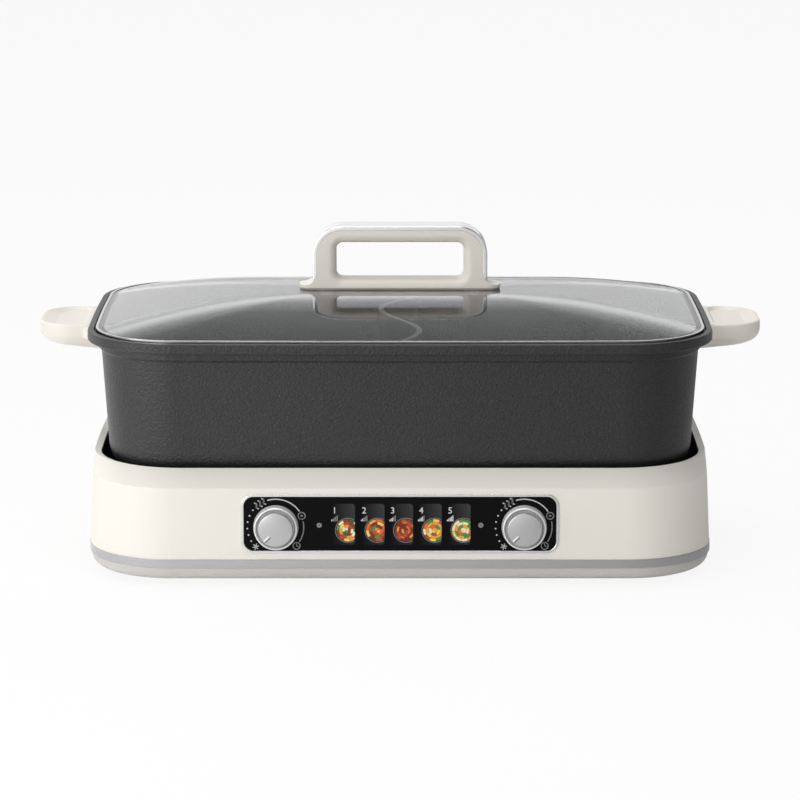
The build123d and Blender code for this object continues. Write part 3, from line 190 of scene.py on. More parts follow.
# ---------------------------------------------------------------- heating plates
# Two cast aluminium plates under the halves of the pot, skimmed flat on a lathe. Each has a steel
# tube in a groove of its underside and a heat limiter in a steel can, and a bright sheet below them
# all keeps the heat up.

# The skim leaves rings round each plate's middle. Real ones are a few tenths of a millimetre apart,
# so they are drawn several times as coarse. The wave texture's rings are pi / 10 of its scale apart.
skim_pitch = 0.48 * pi * mm  # about 1.5 mm from ring to ring
for side in ("left", "right"):
    casting, tree, shader, place = start_material(f"skimmed_cast_aluminium_{side}", {
        "Metallic": 1.0, "Roughness": 0.42,
    })
    low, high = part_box(f"heating_plate_{side}")
    plate_middle = [(low[i] + high[i]) / 2 for i in range(3)]
    centred = add(tree, "Mapping", {"Location": [-v for v in plate_middle]}, {"Vector": place})
    skimmed = add(tree, "TexWave", {
        "wave_type": "RINGS", "rings_direction": "Z", "Scale": pi / (10 * skim_pitch), "Distortion": 0.6,
    }, {"Vector": centred.outputs["Vector"]})
    tone = add(tree, "Mix", {"data_type": "RGBA", 6: linear("#8C8C8E"), 7: linear("#7A7A7C")},
               {0: skimmed.outputs["Fac"]})
    tree.links.new(tone.outputs[2], shader.inputs["Base Color"])
    relief = add(tree, "Bump", {"Strength": 0.3, "Distance": 0.02 * mm},
                 {"Height": skimmed.outputs["Fac"]})
    tree.links.new(relief.outputs["Normal"], shader.inputs["Normal"])
    dress(casting, f"heating_plate_{side}")

# drawn tube, dulled by heat to a warm grey, pressed cans with a soft upright sheen, and bright sheet
# with broad lines from its rolling
tube_steel = drawn_metal("drawn_steel_tube", "#7E7A74", "#6A665F", 0.38, 0.8 * mm, "x")
dress(tube_steel, "heating_tube_left", "heating_tube_right")
can_steel = drawn_metal("pressed_steel_can", "#B9BBBD", "#A7A9AB", 0.3, 0.7 * mm, "z")
dress(can_steel, "heat_limiter_left", "heat_limiter_right")
shield_sheet = drawn_metal("rolled_aluminium_sheet", "#D4D5D6", "#C8C9CA", 0.25, 1.2 * mm, "x")
dress(shield_sheet, "heat_shield")

# ---------------------------------------------------------------- electronics
# Inside the housing: a control board behind the panel, a power board with two relays, a terminal
# block and the power inlet. The boards are woven glass fibre under green solder resist.

# The weave shows through as a faint check, drawn at about twice its real pitch.
laminate, tree, shader, place = start_material("woven_glass_laminate", {"IOR": 1.5, "Roughness": 0.3})
weave = add(tree, "TexChecker", {
    "Scale": 1 / (1.2 * mm), "Color1": linear("#0F4A2A"), "Color2": linear("#135732"),
}, {"Vector": place})
tree.links.new(weave.outputs["Color"], shader.inputs["Base Color"])
relief = add(tree, "Bump", {"Strength": 0.2, "Distance": 0.01 * mm}, {"Height": weave.outputs["Fac"]})
tree.links.new(relief.outputs["Normal"], shader.inputs["Normal"])
dress(laminate, "control_board", "power_board")

# Nylon is dull with an even grain, the relays' cases are glossier, and plating keeps brass bright.
black_nylon = moulded_plastic("moulded_nylon_black", "#1C1C1D", "#242425", 0.45, 0.5 * mm, 0.02 * mm)
dress(black_nylon, "rotary_control_left", "rotary_control_right", "terminal_block", "power_inlet")
blue_nylon = moulded_plastic("moulded_nylon_blue", "#1F3F86", "#27498F", 0.3, 0.9 * mm, 0.01 * mm)
dress(blue_nylon, "relays")
pin_brass = drawn_metal("plated_brass", "#D9C48A", "#C9B277", 0.22, 0.5 * mm, "y")
dress(pin_brass, "inlet_pins")

# ---------------------------------------------------------------- control panel
# A chrome-plated bezel round a black acrylic lens, set into the pocket of the housing. Two small
# light pipes of milky acrylic show in the lens.

# Chrome mirrors what is round it, and its rounded edge catches one bright line.
bezel_chrome = drawn_metal("chrome_plated_bezel", "#E6E6E6", "#DADADA", 0.12, 0.9 * mm, "x",
                           edge_round=0.8 * mm)
dress(bezel_chrome, "panel_bezel")

# Cast acrylic is deep black, with a very slight haze and hardly a reflection.
lens_acrylic, tree, shader, place = start_material("cast_acrylic_black", {
    "IOR": 1.49, "Roughness": 0.12, "Specular IOR Level": 0.06,
})
haze = add(tree, "TexNoise", {"Scale": 1 / (14 * mm), "Detail": 3}, {"Vector": place})
tone = add(tree, "Mix", {"data_type": "RGBA", 6: linear("#0A0A0B"), 7: linear("#0F0F10")},
           {0: haze.outputs["Fac"]})
tree.links.new(tone.outputs[2], shader.inputs["Base Color"])
dress(lens_acrylic, "panel_lens")

# the end of a light pipe: darker in the middle and paler towards its edge
pipe_x, pipe_z = 58.2 * mm, 46.4 * mm
pipe_dull, pipe_pale = 0.3 * mm, 1.3 * mm
pipe_acrylic, tree, shader, place = start_material("moulded_acrylic_milky", {
    "IOR": 1.49, "Roughness": 0.35,
})
apart = add(tree, "SeparateXYZ", {}, {"Vector": place})
across = add(tree, "Math", {"operation": "ABSOLUTE"}, {0: apart.outputs["X"]})
folded = add(tree, "CombineXYZ", {}, {"X": across.outputs["Value"], "Z": apart.outputs["Z"]})
from_middle = add(tree, "VectorMath", {"operation": "DISTANCE", 1: (pipe_x, 0, pipe_z)},
                  {0: folded.outputs["Vector"]})
edge_paling = add(tree, "MapRange", {"From Min": pipe_dull, "From Max": pipe_pale},
           {"Value": from_middle.outputs["Value"]})
tone = add(tree, "Mix", {"data_type": "RGBA", 6: linear("#5C5C5E"), 7: linear("#88888A")},
           {0: edge_paling.outputs["Result"]})
tree.links.new(tone.outputs[2], shader.inputs["Base Color"])
dress(pipe_acrylic, "indicator_left", "indicator_right", "status_lamps")

# ---------------------------------------------------------------- dial scales
# Everything on the lens is screen-printed on its face in thin inks, which dry matt with a fine tooth
# from the screen's mesh. Each print is a film a few hundredths of a millimetre thick. A scale runs
# clockwise round its dial: off, six dots, keep warm, and two heats with an arc before each.
lens_front = 137.2 * mm
film = 0.05 * mm
print_root = 0.02 * mm


def printed(name, cells, inks, layer=1):
    """One print on the lens. A cell is the number of its ink and its outline, as (x, z) in mm."""
    build = bmesh.new()
    back, front = -lens_front + print_root, -lens_front - layer * film
    for ink, outline in cells:
        near = [build.verts.new((x * mm, front, z * mm)) for x, z in outline]
        far = [build.verts.new((x * mm, back, z * mm)) for x, z in outline]
        faces = [build.faces.new(near), build.faces.new(far[::-1])]
        for i in range(len(outline)):
            j = (i + 1) % len(outline)
            faces.append(build.faces.new((near[j], near[i], far[i], far[j])))
        for face in faces:
            face.material_index = ink
    bmesh.ops.recalc_face_normals(build, faces=build.faces)
    mesh = bpy.data.meshes.new(name)
    build.to_mesh(mesh)
    build.free()
    for ink in inks:
        mesh.materials.append(ink)
    piece = bpy.data.objects.new(name, mesh)
    bpy.context.scene.collection.objects.link(piece)
    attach(piece, "base")


def screen_ink(name, colour, shade):
    """Ink pressed through a screen: matt, with a tooth that makes its tone uneven. The mesh is about
    0.1 mm, so the tooth is drawn three times as coarse."""
    material, tree, shader, place = start_material(name, {"IOR": 1.5, "Roughness": 0.5})
    tooth = add(tree, "TexNoise", {"Scale": 1 / (0.35 * mm), "Detail": 2}, {"Vector": place})
    tone = add(tree, "Mix", {"data_type": "RGBA", 6: linear(colour), 7: linear(shade)},
               {0: tooth.outputs["Fac"]})
    tree.links.new(tone.outputs[2], shader.inputs["Base Color"])
    return material


def ring_cells(ink, middle, inner, outer, start, end, steps):
    """Cells of a ring, or of an arc from start to end degrees, anticlockwise from the right."""
    cells = []
    for i in range(steps):
        first, last = (radians(start + (end - start) * k / steps) for k in (i, i + 1))
        cells.append((ink, [(middle[0] + r * cos(a), middle[1] + r * sin(a))
                            for r, a in ((inner, first), (outer, first), (outer, last), (inner, last))]))
    return cells


def stroke_cells(ink, points, width):
    """Cells of a line through some points, one straight cell with square ends for each stretch."""
    cells = []
    for (x0, z0), (x1, z1) in zip(points, points[1:]):
        run = Vector((x1 - x0, z1 - z0)).normalized() * width / 2
        side = Vector((-run.y, run.x))
        ends = (Vector((x0, z0)) - run, Vector((x1, z1)) + run)
        cells.append((ink, [tuple(ends[0] + side), tuple(ends[0] - side),
                            tuple(ends[1] - side), tuple(ends[1] + side)]))
    return cells


white_ink = screen_ink("screen_printed_white", "#E6E6E6", "#CFCFCF")
pale_ink = screen_ink("screen_printed_pale_grey", "#CDCDCD", "#B8B8B8")
grey_ink = screen_ink("screen_printed_grey", "#8A8A8A", "#7A7A7A")
# the sizes of the prints, in mm and degrees
scale_radius = 20.6
dial_x, dial_z = 89.4, 45.1
dot_angles, dot_radius = (142.7, 156.2, 169.7, 183.3, 196.8, 210.4), 0.62
off_angle, off_reach, off_stroke = 225, 2.0, 0.65
warm_angle, wave_gap, wave_sway, wave_rise, wave_stroke = 123, 3.1, 0.75, 0.96, 0.9
bright_arc, bright_arc_half = (34, 107), 0.42
dim_arc, dim_arc_inner, dim_arc_outer = (-33, 12), 0.9, 0.1
dotted_angle, clock_angle, mark_inset, mark_inner, mark_outer = 24, -43.3, 0.2, 2.2, 2.9
least_inner, mark_dot = 0.05, 0.8
hand_up, hand_across, hand_down, hand_stroke = 1.5, 1.1, 0.5, 0.6


def on_scale(x, angle, along=0.0, out=0.0):
    """A point of the scale of the dial at x: its angle, then mm along the tangent and outwards."""
    a = radians(angle)
    radius = scale_radius + out
    return (x + radius * cos(a) - along * sin(a), dial_z + radius * sin(a) + along * cos(a))


for side, x in (("left", -dial_x), ("right", dial_x)):
    bright, dim = [], []
    for angle in dot_angles:
        dot = on_scale(x, angle)
        bright.append((0, [(dot[0] + dot_radius * cos(radians(t)), dot[1] + dot_radius * sin(radians(t)))
                           for t in range(0, 360, 30)]))
    # off: a star of three crossed strokes
    for t in (0, 60, 120):
        along, out = off_reach * cos(radians(t)), off_reach * sin(radians(t))
        ends = [on_scale(x, off_angle, along, out), on_scale(x, off_angle, -along, -out)]
        bright += stroke_cells(0, ends, off_stroke)
    # keep warm: three rising waves
    for shift in (-wave_gap, 0.0, wave_gap):
        wave = [on_scale(x, warm_angle, shift + wave_sway * sin(radians(t * 72)), wave_rise * (t - 2.5))
                for t in range(6)]
        bright += stroke_cells(0, wave, wave_stroke)
    bright += ring_cells(0, (x, dial_z), scale_radius - bright_arc_half, scale_radius + bright_arc_half,
                         *bright_arc, 24)
    dim += ring_cells(0, (x, dial_z), scale_radius - dim_arc_inner, scale_radius - dim_arc_outer,
                      *dim_arc, 14)
    # the two heats: a ring with a dot, and a ring with two strokes like a clock
    dotted, clock = (on_scale(x, angle, 0, -mark_inset) for angle in (dotted_angle, clock_angle))
    for mark in (dotted, clock):
        dim += ring_cells(0, mark, mark_inner, mark_outer, 0, 360, 20)
    dim += ring_cells(0, dotted, least_inner, mark_dot, 0, 360, 12)
    dim += stroke_cells(0, [(clock[0], clock[1] + hand_up), clock,
                            (clock[0] + hand_across, clock[1] - hand_down)], hand_stroke)
    printed(f"scale_print_{side}", bright, [pale_ink])
    printed(f"scale_print_dim_{side}", dim, [grey_ink])

# ---------------------------------------------------------------- picture fields
# Five fields between the dials, printed on the lens like the scales. Each is a smoky window that
# fades out to the left, with a number, five rising bars and a round mosaic in cooking colours, which
# the window's right edge cuts off.
window_right = (-32.4, -11.1, 9.4, 30.0, 50.8)
window_low, window_high, window_width, window_corner = 31.9, 62.3, 16.5, 2.2

# The windows' ink is a smooth smoky film that grows lighter upwards and towards its right edge.
window_ink, tree, shader, place = start_material("screen_printed_smoke", {
    "IOR": 1.49, "Roughness": 0.16, "Specular IOR Level": 0.06,
})
apart = add(tree, "SeparateXYZ", {}, {"Vector": place})
nearest = None
for right in window_right:  # how far a point is from the right edge of its own window
    short = add(tree, "Math", {"operation": "SUBTRACT", 0: right * mm}, {1: apart.outputs["X"]})
    beyond = add(tree, "Math", {"operation": "LESS_THAN", 1: -0.2 * mm}, {0: short.outputs["Value"]})
    reach = add(tree, "Math", {"operation": "ADD"},
                {0: short.outputs["Value"], 1: beyond.outputs["Value"]})
    if nearest is None:
        nearest = reach
    else:
        nearest = add(tree, "Math", {"operation": "MINIMUM"},
                      {0: nearest.outputs["Value"], 1: reach.outputs["Value"]})
fade_out = add(tree, "MapRange", {
    "From Min": 0.0, "From Max": window_width * mm, "To Min": 1.0, "To Max": 0.0,
}, {"Value": nearest.outputs["Value"]})
rise = add(tree, "MapRange", {
    "From Min": window_low * mm, "From Max": window_high * mm, "To Min": 0.55, "To Max": 1.0,
}, {"Value": apart.outputs["Z"]})
lit = add(tree, "Math", {"operation": "MULTIPLY"},
          {0: fade_out.outputs["Result"], 1: rise.outputs["Result"]})
tone = add(tree, "Mix", {"data_type": "RGBA", 6: linear("#0C0C0D"), 7: linear("#404041")},
           {0: lit.outputs["Value"]})
tree.links.new(tone.outputs[2], shader.inputs["Base Color"])

food_inks = [screen_ink(f"screen_printed_food_{i + 1}", colour, colour) for i, colour in enumerate((
    "#7C3319", "#B4481F", "#E4661F", "#EE9F34", "#F3D25E", "#F1E4BC", "#4F8B35", "#7A1C10", "#2C5F2A"))]
mosaics = (  # rings, sectors, twist of each ring in degrees, inks in turn
    (4, 11, 17, (0, 3, 5, 1, 6, 3, 0, 5, 1, 8, 4)),
    (4, 9, 20, (2, 1, 3, 7, 2, 6, 4, 1, 7)),
    (5, 12, 15, (7, 1, 7, 2, 0, 7, 1, 3)),
    (4, 10, 9, (3, 4, 3, 6, 4, 2, 3, 5, 3, 1)),
    (4, 10, 26, (5, 6, 5, 3, 4, 6, 5, 2, 5, 6, 3)),
)
mosaic_radius, mosaic_back, mosaic_z = 8.3, 5.1, 42.7
grout, grout_angle, edge_margin = 0.08, 1, 0.1
rim_inner, rim_outer = mosaic_radius + 0.5, mosaic_radius + 0.9
number_size, number_half_depth, number_back, number_z = 6.6, 0.04, 14.7, 55.2
bar_back, bar_pitch, bar_width, bar_foot, bar_first, bar_step = 17.0, 0.98, 0.66, 49.4, 50.6, 0.75
for number, (right, (rings, sectors, twist, order)) in enumerate(zip(window_right, mosaics), 1):
    left, cut_x = right - window_width, right - edge_margin
    corners = [(right - window_corner + window_corner * cos(radians(t)),
                edge_z + s * (window_corner * sin(radians(t)) - window_corner))
               for edge_z, s, angles in ((window_low, -1, range(90, -1, -15)),
                                         (window_high, 1, range(0, 91, 15)))
               for t in angles]
    printed(f"picture_window_{number}", [(0, [(left, window_low)] + corners + [(left, window_high)])],
            [window_ink])

    middle = (right - mosaic_back, mosaic_z)
    tiles = []
    for ring in range(rings):
        inner, outer = (mosaic_radius * k / rings for k in (ring, ring + 1))
        count = max(4, round(sectors * (ring + 1) / rings))
        for sector in range(count):
            first = 360 * sector / count + twist * ring
            for _, outline in ring_cells(0, middle, max(inner, least_inner) + grout, outer - grout,
                                         first + grout_angle, first + 360 / count - grout_angle, 4):
                cut = [(min(px, cut_x), pz) for px, pz in outline]
                if cut[0][0] < cut_x or cut[1][0] < cut_x:
                    tiles.append((order[(sector * 2 + ring * 3) % len(order)], cut))
    printed(f"mosaic_{number}", tiles, food_inks, 2)
    rim = [(0, [(min(px, cut_x), pz) for px, pz in outline])
           for _, outline in ring_cells(0, middle, rim_inner, rim_outer, 60, 300, 40)]
    printed(f"mosaic_rim_{number}", rim, [grey_ink], 2)

    digit = bpy.data.curves.new(f"number_{number}", "FONT")
    digit.body = str(number)
    digit.size = number_size * mm
    digit.extrude = number_half_depth * mm
    digit.align_x = "CENTER"
    digit.materials.append(white_ink)
    piece = bpy.data.objects.new(f"number_{number}", digit)
    piece.rotation_euler = (radians(90), 0, 0)
    piece.location = ((right - number_back) * mm, -lens_front + print_root - number_half_depth * mm,
                      number_z * mm)
    bpy.context.scene.collection.objects.link(piece)
    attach(piece, "base")

    bars = []
    for bar in range(5):
        low_x, top = right - bar_back + bar * bar_pitch, bar_first + bar * bar_step
        bars.append((0 if bar < number else 1, [(low_x, bar_foot), (low_x + bar_width, bar_foot),
                                                (low_x + bar_width, top), (low_x, top)]))
    printed(f"heat_bars_{number}", bars, [white_ink, grey_ink], 2)

# ---------------------------------------------------------------- dials
# Two dials turned from aluminium bar, each a dished skirt and a raised cap on a steel spindle. The
# cap's domed face is spun satin, so each highlight fans out from its middle, and two strips of paint
# sit on it as its pointer: a white bar of painted highlight, for the lit top of a raised pointer, and a
# dark strip of painted shadow along its lower side.
cap_radius, cap_round, cap_dome, cap_steps = 12.5 * mm, 1.3 * mm, 1.1 * mm, 96
cap_back, cap_front = -lens_front - 4.9 * mm, -lens_front - 11.2 * mm
face_radius = 0.93 * cap_radius

# Real turning marks are about 0.1 mm apart, so they are drawn four times as coarse. Both dials share
# one material, folded over at the middle of the panel, with its rings round a dial's axis.
turning_pitch = 0.14 * pi * mm  # about 0.44 mm from ring to ring
spun, tree, shader, place = start_material("spun_aluminium", {
    "Metallic": 0.75, "Roughness": 0.3, "Anisotropic": 0.4,
})
apart = add(tree, "SeparateXYZ", {}, {"Vector": place})
across = add(tree, "Math", {"operation": "ABSOLUTE"}, {0: apart.outputs["X"]})
folded = add(tree, "CombineXYZ", {}, {"X": across.outputs["Value"], "Y": apart.outputs["Y"],
                                      "Z": apart.outputs["Z"]})
centred = add(tree, "Mapping", {"Location": (-dial_x * mm, 0, -dial_z * mm)},
              {"Vector": folded.outputs["Vector"]})
turned = add(tree, "TexWave", {
    "wave_type": "RINGS", "rings_direction": "Y", "Scale": pi / (10 * turning_pitch), "Distortion": 0.8,
}, {"Vector": centred.outputs["Vector"]})
tone = add(tree, "Mix", {"data_type": "RGBA", 6: linear("#C9C9C9"), 7: linear("#BBBBBB")},
           {0: turned.outputs["Fac"]})
tree.links.new(tone.outputs[2], shader.inputs["Base Color"])
relief = add(tree, "Bump", {"Strength": 0.12, "Distance": 0.01 * mm}, {"Height": turned.outputs["Fac"]})
tree.links.new(relief.outputs["Normal"], shader.inputs["Normal"])

# The skirts are turned to a pale, even satin.
satin = drawn_metal("turned_satin_aluminium", "#F4F4F4", "#EAEAEA", 0.34, 0.5 * mm, "y", 0.4)
dress(satin, "dial_skirt_left", "dial_skirt_right")

# The pointer's strips are matt paint: white for its painted highlight, dark grey for its painted shadow.
highlight_paint = screen_ink("painted_highlight_white", "#FFFFFF", "#F2F2F2")
shadow_paint = screen_ink("painted_shadow_dark", "#3A3A3A", "#303030")
pointer_inner, pointer_outer, pointer_angle, pointer_root = 6.2 * mm, 11.6 * mm, radians(225), 0.3 * mm
pointer_strips = (  # name, paint, offset from the pointer's middle, width, height over the face
    # the white strip is painted highlight and the dark strip beside it painted shadow
    ("pointer_highlight_strip", highlight_paint, 0.0, 1.3 * mm, 0.35 * mm),
    ("pointer_shadow_strip", shadow_paint, 1.05 * mm, 0.9 * mm, 0.12 * mm),
)


def cap_profile():
    """The cap's half section from its middle outwards: (radius, y), a domed face and a round edge."""
    line = [(face_radius * i / 10, cap_front + cap_dome * (i / 10) ** 2) for i in range(11)]
    edge_y = line[-1][1]
    for i in range(1, 7):
        t = radians(15 * i)
        line.append((face_radius + (cap_radius - face_radius) * sin(t),
                     edge_y + cap_round * (1 - cos(t))))
    return line + [(cap_radius, cap_back)]


def mesh_piece(name, build, material, body):
    """An object from built faces, in one material, that turns with its dial."""
    bmesh.ops.recalc_face_normals(build, faces=build.faces)
    mesh = bpy.data.meshes.new(name)
    build.to_mesh(mesh)
    build.free()
    mesh.materials.append(material)
    piece = bpy.data.objects.new(name, mesh)
    bpy.context.scene.collection.objects.link(piece)
    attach(piece, body)
    return piece


for side, x in (("left", -dial_x * mm), ("right", dial_x * mm)):
    build = bmesh.new()
    circles = []
    for radius, y in cap_profile():
        if radius == 0:
            circles.append([build.verts.new((x, y, dial_z * mm))])
        else:
            circles.append([build.verts.new((x + radius * cos(2 * pi * k / cap_steps), y,
                                             dial_z * mm + radius * sin(2 * pi * k / cap_steps)))
                            for k in range(cap_steps)])
    for inner, outer in zip(circles, circles[1:]):
        for k in range(cap_steps):
            j = (k + 1) % cap_steps
            inward = [inner[0]] if len(inner) == 1 else [inner[j], inner[k]]
            build.faces.new([outer[k], outer[j]] + inward)
    build.faces.new(circles[-1][::-1])
    for face in build.faces:
        face.smooth = len(face.verts) < 5
    cap = mesh_piece(f"dial_cap_face_{side}", build, spun, f"dial_{side}")
    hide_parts(f"dial_cap_{side}")

    for name, paint, offset, width, height in pointer_strips:
        build = bmesh.new()
        for raised in (-pointer_root, height):
            for radius, edge in ((pointer_inner, -width / 2), (pointer_outer, -width / 2),
                                 (pointer_outer, width / 2), (pointer_inner, width / 2)):
                shift = offset + edge
                px = x + radius * cos(pointer_angle) - shift * sin(pointer_angle)
                pz = dial_z * mm + radius * sin(pointer_angle) + shift * cos(pointer_angle)
                face_y = cap_front + cap_dome * min(radius / face_radius, 1.0) ** 2
                build.verts.new((px, face_y - raised, pz))
        build.verts.ensure_lookup_table()
        for loop in ((4, 5, 6, 7), (3, 2, 1, 0), (0, 1, 5, 4), (1, 2, 6, 5), (2, 3, 7, 6), (3, 0, 4, 7)):
            build.faces.new([build.verts[i] for i in loop])
        mesh_piece(f"{name}_{side}", build, paint, f"dial_{side}")

# The spindles are turned from bright steel, with fine lines along them.
spindle_steel = drawn_metal("turned_steel", "#B4B6B8", "#A2A4A6", 0.25, 0.4 * mm, "y")
dress(spindle_steel, "dial_spindle_left", "dial_spindle_right")

# ---------------------------------------------------------------- pot
# A divided pot cast in aluminium and sprayed inside and out with a dark non-stick coating. The
# coating carries grit of about 0.2 mm, so the face is a dark matt grey with a sandy sparkle. The
# grit is drawn several times as coarse, in two sizes, to show at all.
coarse_grit, fine_grit, coarse_share = 1.7 * mm, 0.8 * mm, 2.4
coating, tree, shader, place = start_material("sprayed_nonstick_coating", {
    "IOR": 1.5, "Roughness": 0.38,
})
grit = add(tree, "TexNoise", {"Scale": 1 / coarse_grit, "Detail": 1, "Roughness": 0.4},
           {"Vector": place})
fine = add(tree, "TexNoise", {"Scale": 1 / fine_grit, "Detail": 3}, {"Vector": place})
speckle = add(tree, "MapRange", {"From Min": 0.35, "From Max": 0.65}, {"Value": fine.outputs["Fac"]})
tone = add(tree, "Mix", {"data_type": "RGBA", 6: linear("#141414"), 7: linear("#303030")},
           {0: speckle.outputs["Result"]})
tree.links.new(tone.outputs[2], shader.inputs["Base Color"])
coarse = add(tree, "Math", {"operation": "MULTIPLY", 1: coarse_share}, {0: grit.outputs["Fac"]})
height = add(tree, "Math", {"operation": "ADD"}, {0: coarse.outputs["Value"], 1: fine.outputs["Fac"]})
relief = add(tree, "Bump", {"Strength": 1.0, "Distance": 0.2 * mm}, {"Height": height.outputs["Value"]})
tree.links.new(relief.outputs["Normal"], shader.inputs["Normal"])
dress(coating, "pot")

# ---------------------------------------------------------------- side handles and lid handle
# Heat-proof phenolic mouldings in a warmer cream than the housing, with the same satin face, and a
# chrome-plated band that is clipped round the loop of the lid handle.
phenolic = moulded_plastic("moulded_phenolic_cream", "#EDE8DF", "#E8E2D8", 0.34, 0.4 * mm, 0.012 * mm)
dress(phenolic, "pot_handle_left", "pot_handle_right", "lid_handle")
band_chrome = drawn_metal("chrome_plated_band", "#F4F4F4", "#ECECEC", 0.1, 0.9 * mm, "x",
                          edge_round=0.6 * mm)
dress(band_chrome, "lid_handle_band")

# ---------------------------------------------------------------- lid
# A domed pane of clear tempered glass in a rolled steel rim, with two crimped steam vents and a
# silicone gasket under its handle.

# Pressed glass ripples a little, so its reflections waver, and it is very slightly tinted. Lamp light
# goes straight through it, as through a thin pane.
glass, tree, shader, place = start_material("pressed_tempered_glass", {
    "IOR": 1.5, "Roughness": 0.0, "Transmission Weight": 1.0, "Base Color": linear("#EFF1F1"),
})
ripple = add(tree, "TexNoise", {"Scale": 1 / (60 * mm), "Detail": 1}, {"Vector": place})
relief = add(tree, "Bump", {"Strength": 0.03, "Distance": 0.2 * mm}, {"Height": ripple.outputs["Fac"]})
tree.links.new(relief.outputs["Normal"], shader.inputs["Normal"])
clear = add(tree, "BsdfTransparent", {"Color": linear("#F2F4F3")})
lamp_ray = add(tree, "LightPath")
through = add(tree, "MixShader", {}, {0: lamp_ray.outputs["Is Shadow Ray"], 1: shader.outputs["BSDF"],
                                      2: clear.outputs["BSDF"]})
tree.links.new(through.outputs["Shader"], tree.nodes["Material Output"].inputs["Surface"])
dress(glass, "lid_glass")

# Rolled steel has fine lines that run along the front of the rim.
rim_steel = drawn_metal("rolled_stainless_steel", "#C8C8C8", "#BABABA", 0.2, 0.8 * mm, "x")
dress(rim_steel, "lid_rim", "steam_vents")

# Silicone is dull, with a soft bloom.
seal, tree, shader, place = start_material("moulded_silicone_seal", {"IOR": 1.42, "Roughness": 0.6})
bloom = add(tree, "TexNoise", {"Scale": 1 / (1.2 * mm), "Detail": 3}, {"Vector": place})
tone = add(tree, "Mix", {"data_type": "RGBA", 6: linear("#A8A29A"), 7: linear("#B7B1A8")},
           {0: bloom.outputs["Fac"]})
tree.links.new(tone.outputs[2], shader.inputs["Base Color"])
dress(seal, "handle_gasket", "lid_washers")

# ---------------------------------------------------------------- floor
# A pale studio floor that runs on as a white backdrop. The camera sees it mostly as plain white with
# a faint shadow. Mirrored in the object, or through its glass, it glows a little brighter at the left,
# where the light comes from, and its glow falls to a third of that across the object's width.
floor_size, white_seen, white_mirrored = 12.0, 0.9, 0.75
floor_mesh = bpy.data.meshes.new("floor")
floor_builder = bmesh.new()
bmesh.ops.create_grid(floor_builder, x_segments=1, y_segments=1, size=floor_size / 2)
floor_builder.to_mesh(floor_mesh)
floor_builder.free()
floor = bpy.data.objects.new("floor", floor_mesh)
bpy.context.scene.collection.objects.link(floor)
floor_paint, tree, shader, place = start_material("rolled_matt_paint", {
    "Roughness": 0.8, "Base Color": linear("#F4F4F3"), "Specular IOR Level": 0.1,
})
white = add(tree, "Emission", {"Color": (1, 1, 1, 1)})
seen = add(tree, "LightPath")
mirrored = add(tree, "Math", {"operation": "MAXIMUM"},
               {0: seen.outputs["Is Glossy Ray"], 1: seen.outputs["Is Transmission Ray"]})
apart = add(tree, "SeparateXYZ", {}, {"Vector": place})
falloff = add(tree, "MapRange", {"From Min": -0.25, "From Max": 0.3, "To Min": 1.15, "To Max": 0.35},
              {"Value": apart.outputs["X"]})
strength = add(tree, "Mix", {"data_type": "FLOAT", 3: 1.0},
               {0: seen.outputs["Is Camera Ray"], 2: falloff.outputs["Result"]})
tree.links.new(strength.outputs[0], white.inputs["Strength"])
seen_share = add(tree, "MapRange", {"To Max": white_seen}, {"Value": seen.outputs["Is Camera Ray"]})
mirror_share = add(tree, "MapRange", {"To Max": white_mirrored}, {"Value": mirrored.outputs["Value"]})
share = add(tree, "Math", {"operation": "MAXIMUM"},
            {0: seen_share.outputs["Result"], 1: mirror_share.outputs["Result"]})
blended = add(tree, "MixShader", {}, {0: share.outputs["Value"], 1: shader.outputs["BSDF"],
                                      2: white.outputs["Emission"]})
tree.links.new(blended.outputs["Shader"], tree.nodes["Material Output"].inputs["Surface"])
floor_mesh.materials.append(floor_paint)

# ---------------------------------------------------------------- studio light
# Surroundings that the camera sees as plain white, also through glass. They light the object at about
# half that level from the left and a sixth from the right. Reflections show a bright band low in
# them, which climbs towards the left, under a dim ceiling, and they too are dimmer at the right.

# height in the mirrored surroundings and level there, halved on the ramp, whose colours stop at 1
lighting_level = 0.5
mirror_levels = ((0.0, 1.0), (0.22, 1.0), (0.26, 1.7), (0.30, 1.7), (0.37, 0.8), (0.5, 0.2), (1.0, 0.12))
world = bpy.data.worlds.new("studio")
bpy.context.scene.world = world
world.use_nodes = True
sky = world.node_tree
background = sky.nodes["Background"]
background.inputs["Color"].default_value = (1, 1, 1, 1)
direction = add(sky, "SeparateXYZ", {}, {"Vector": add(sky, "TexCoord").outputs["Generated"]})
sideways = add(sky, "MapRange", {"From Min": -0.3, "From Max": 0.8, "To Min": 1.1, "To Max": 0.35},
               {"Value": direction.outputs["X"]})
lean = add(sky, "MapRange", {"From Min": -1.0, "From Max": 0.0, "To Min": 0.4, "To Max": 0.0},
           {"Value": direction.outputs["X"]})
lowered = add(sky, "Math", {"operation": "SUBTRACT"},
              {0: direction.outputs["Z"], 1: lean.outputs["Result"]})
ramp = add(sky, "ValToRGB", {}, {"Fac": lowered.outputs["Value"]})
stops = ramp.color_ramp.elements
for height_on_ramp, _ in mirror_levels[1:-1]:
    stops.new(height_on_ramp)
for stop, (height_on_ramp, bright_level) in zip(stops, mirror_levels):
    stop.position = height_on_ramp
    stop.color = (bright_level / 2, bright_level / 2, bright_level / 2, 1)
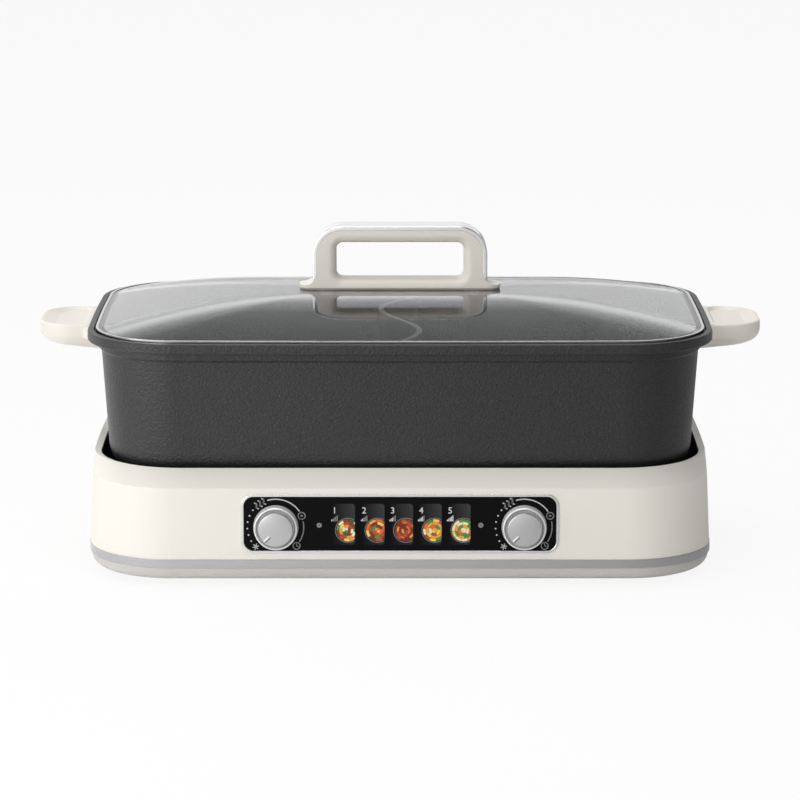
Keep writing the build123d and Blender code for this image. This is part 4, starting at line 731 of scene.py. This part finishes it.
mirror_level = add(sky, "Math", {"operation": "MULTIPLY", 1: 2.0}, {0: ramp.outputs["Color"]})
rays = add(sky, "LightPath")
by_kind = add(sky, "Mix", {"data_type": "FLOAT", 2: lighting_level},
              {0: rays.outputs["Is Glossy Ray"], 3: mirror_level.outputs["Value"]})
sided = add(sky, "Math", {"operation": "MULTIPLY"},
            {0: by_kind.outputs[0], 1: sideways.outputs["Result"]})
plain = add(sky, "Math", {"operation": "MAXIMUM"},
            {0: rays.outputs["Is Camera Ray"], 1: rays.outputs["Is Transmission Ray"]})
world_level = add(sky, "Mix", {"data_type": "FLOAT", 3: 1.0},
                  {0: plain.outputs["Value"], 2: sided.outputs["Value"]})
sky.links.new(world_level.outputs[0], background.inputs["Strength"])

# four soft boxes that face the middle of the object: place and size in metres, power in watts
middle_of_object = Vector((0, 0, 0.12))
soft_boxes = (
    ("key", (-0.8, -1.15, 0.5), (0.7, 0.8), 5.2),
    ("strip", (-1.0, -0.62, 0.15), (0.34, 0.24), 1.1),
    ("fill", (1.7, -1.6, 1.3), (1.4, 1.4), 1.8),
    ("top", (-0.3, -0.1, 2.2), (2.0, 1.6), 26.0),
)
for name, position, size, power in soft_boxes:
    lamp_data = bpy.data.lights.new(name, "AREA")
    lamp_data.shape = "RECTANGLE"
    lamp_data.size, lamp_data.size_y = size
    lamp_data.energy = power
    lamp = bpy.data.objects.new(name, lamp_data)
    lamp.location = position
    lamp.rotation_euler = (middle_of_object - Vector(position)).to_track_quat("-Z", "Y").to_euler()
    lamp.visible_camera = False
    bpy.context.scene.collection.objects.link(lamp)

# ---------------------------------------------------------------- camera
# A long lens, 2.6 m in front of the object's middle and 0.66 m up, tipped 12 degrees down.
camera_data = bpy.data.cameras.new("camera")
camera_data.sensor_width = 36.0
camera_data.lens = 156.6
camera_data.clip_end = 50.0
camera = bpy.data.objects.new("camera", camera_data)
camera.location = (0.0, -2.569, 0.6555)
camera.rotation_euler = (radians(78), 0, 0)
bpy.context.scene.collection.objects.link(camera)
bpy.context.scene.camera = camera
bpy.context.scene.view_settings.view_transform = "Standard"
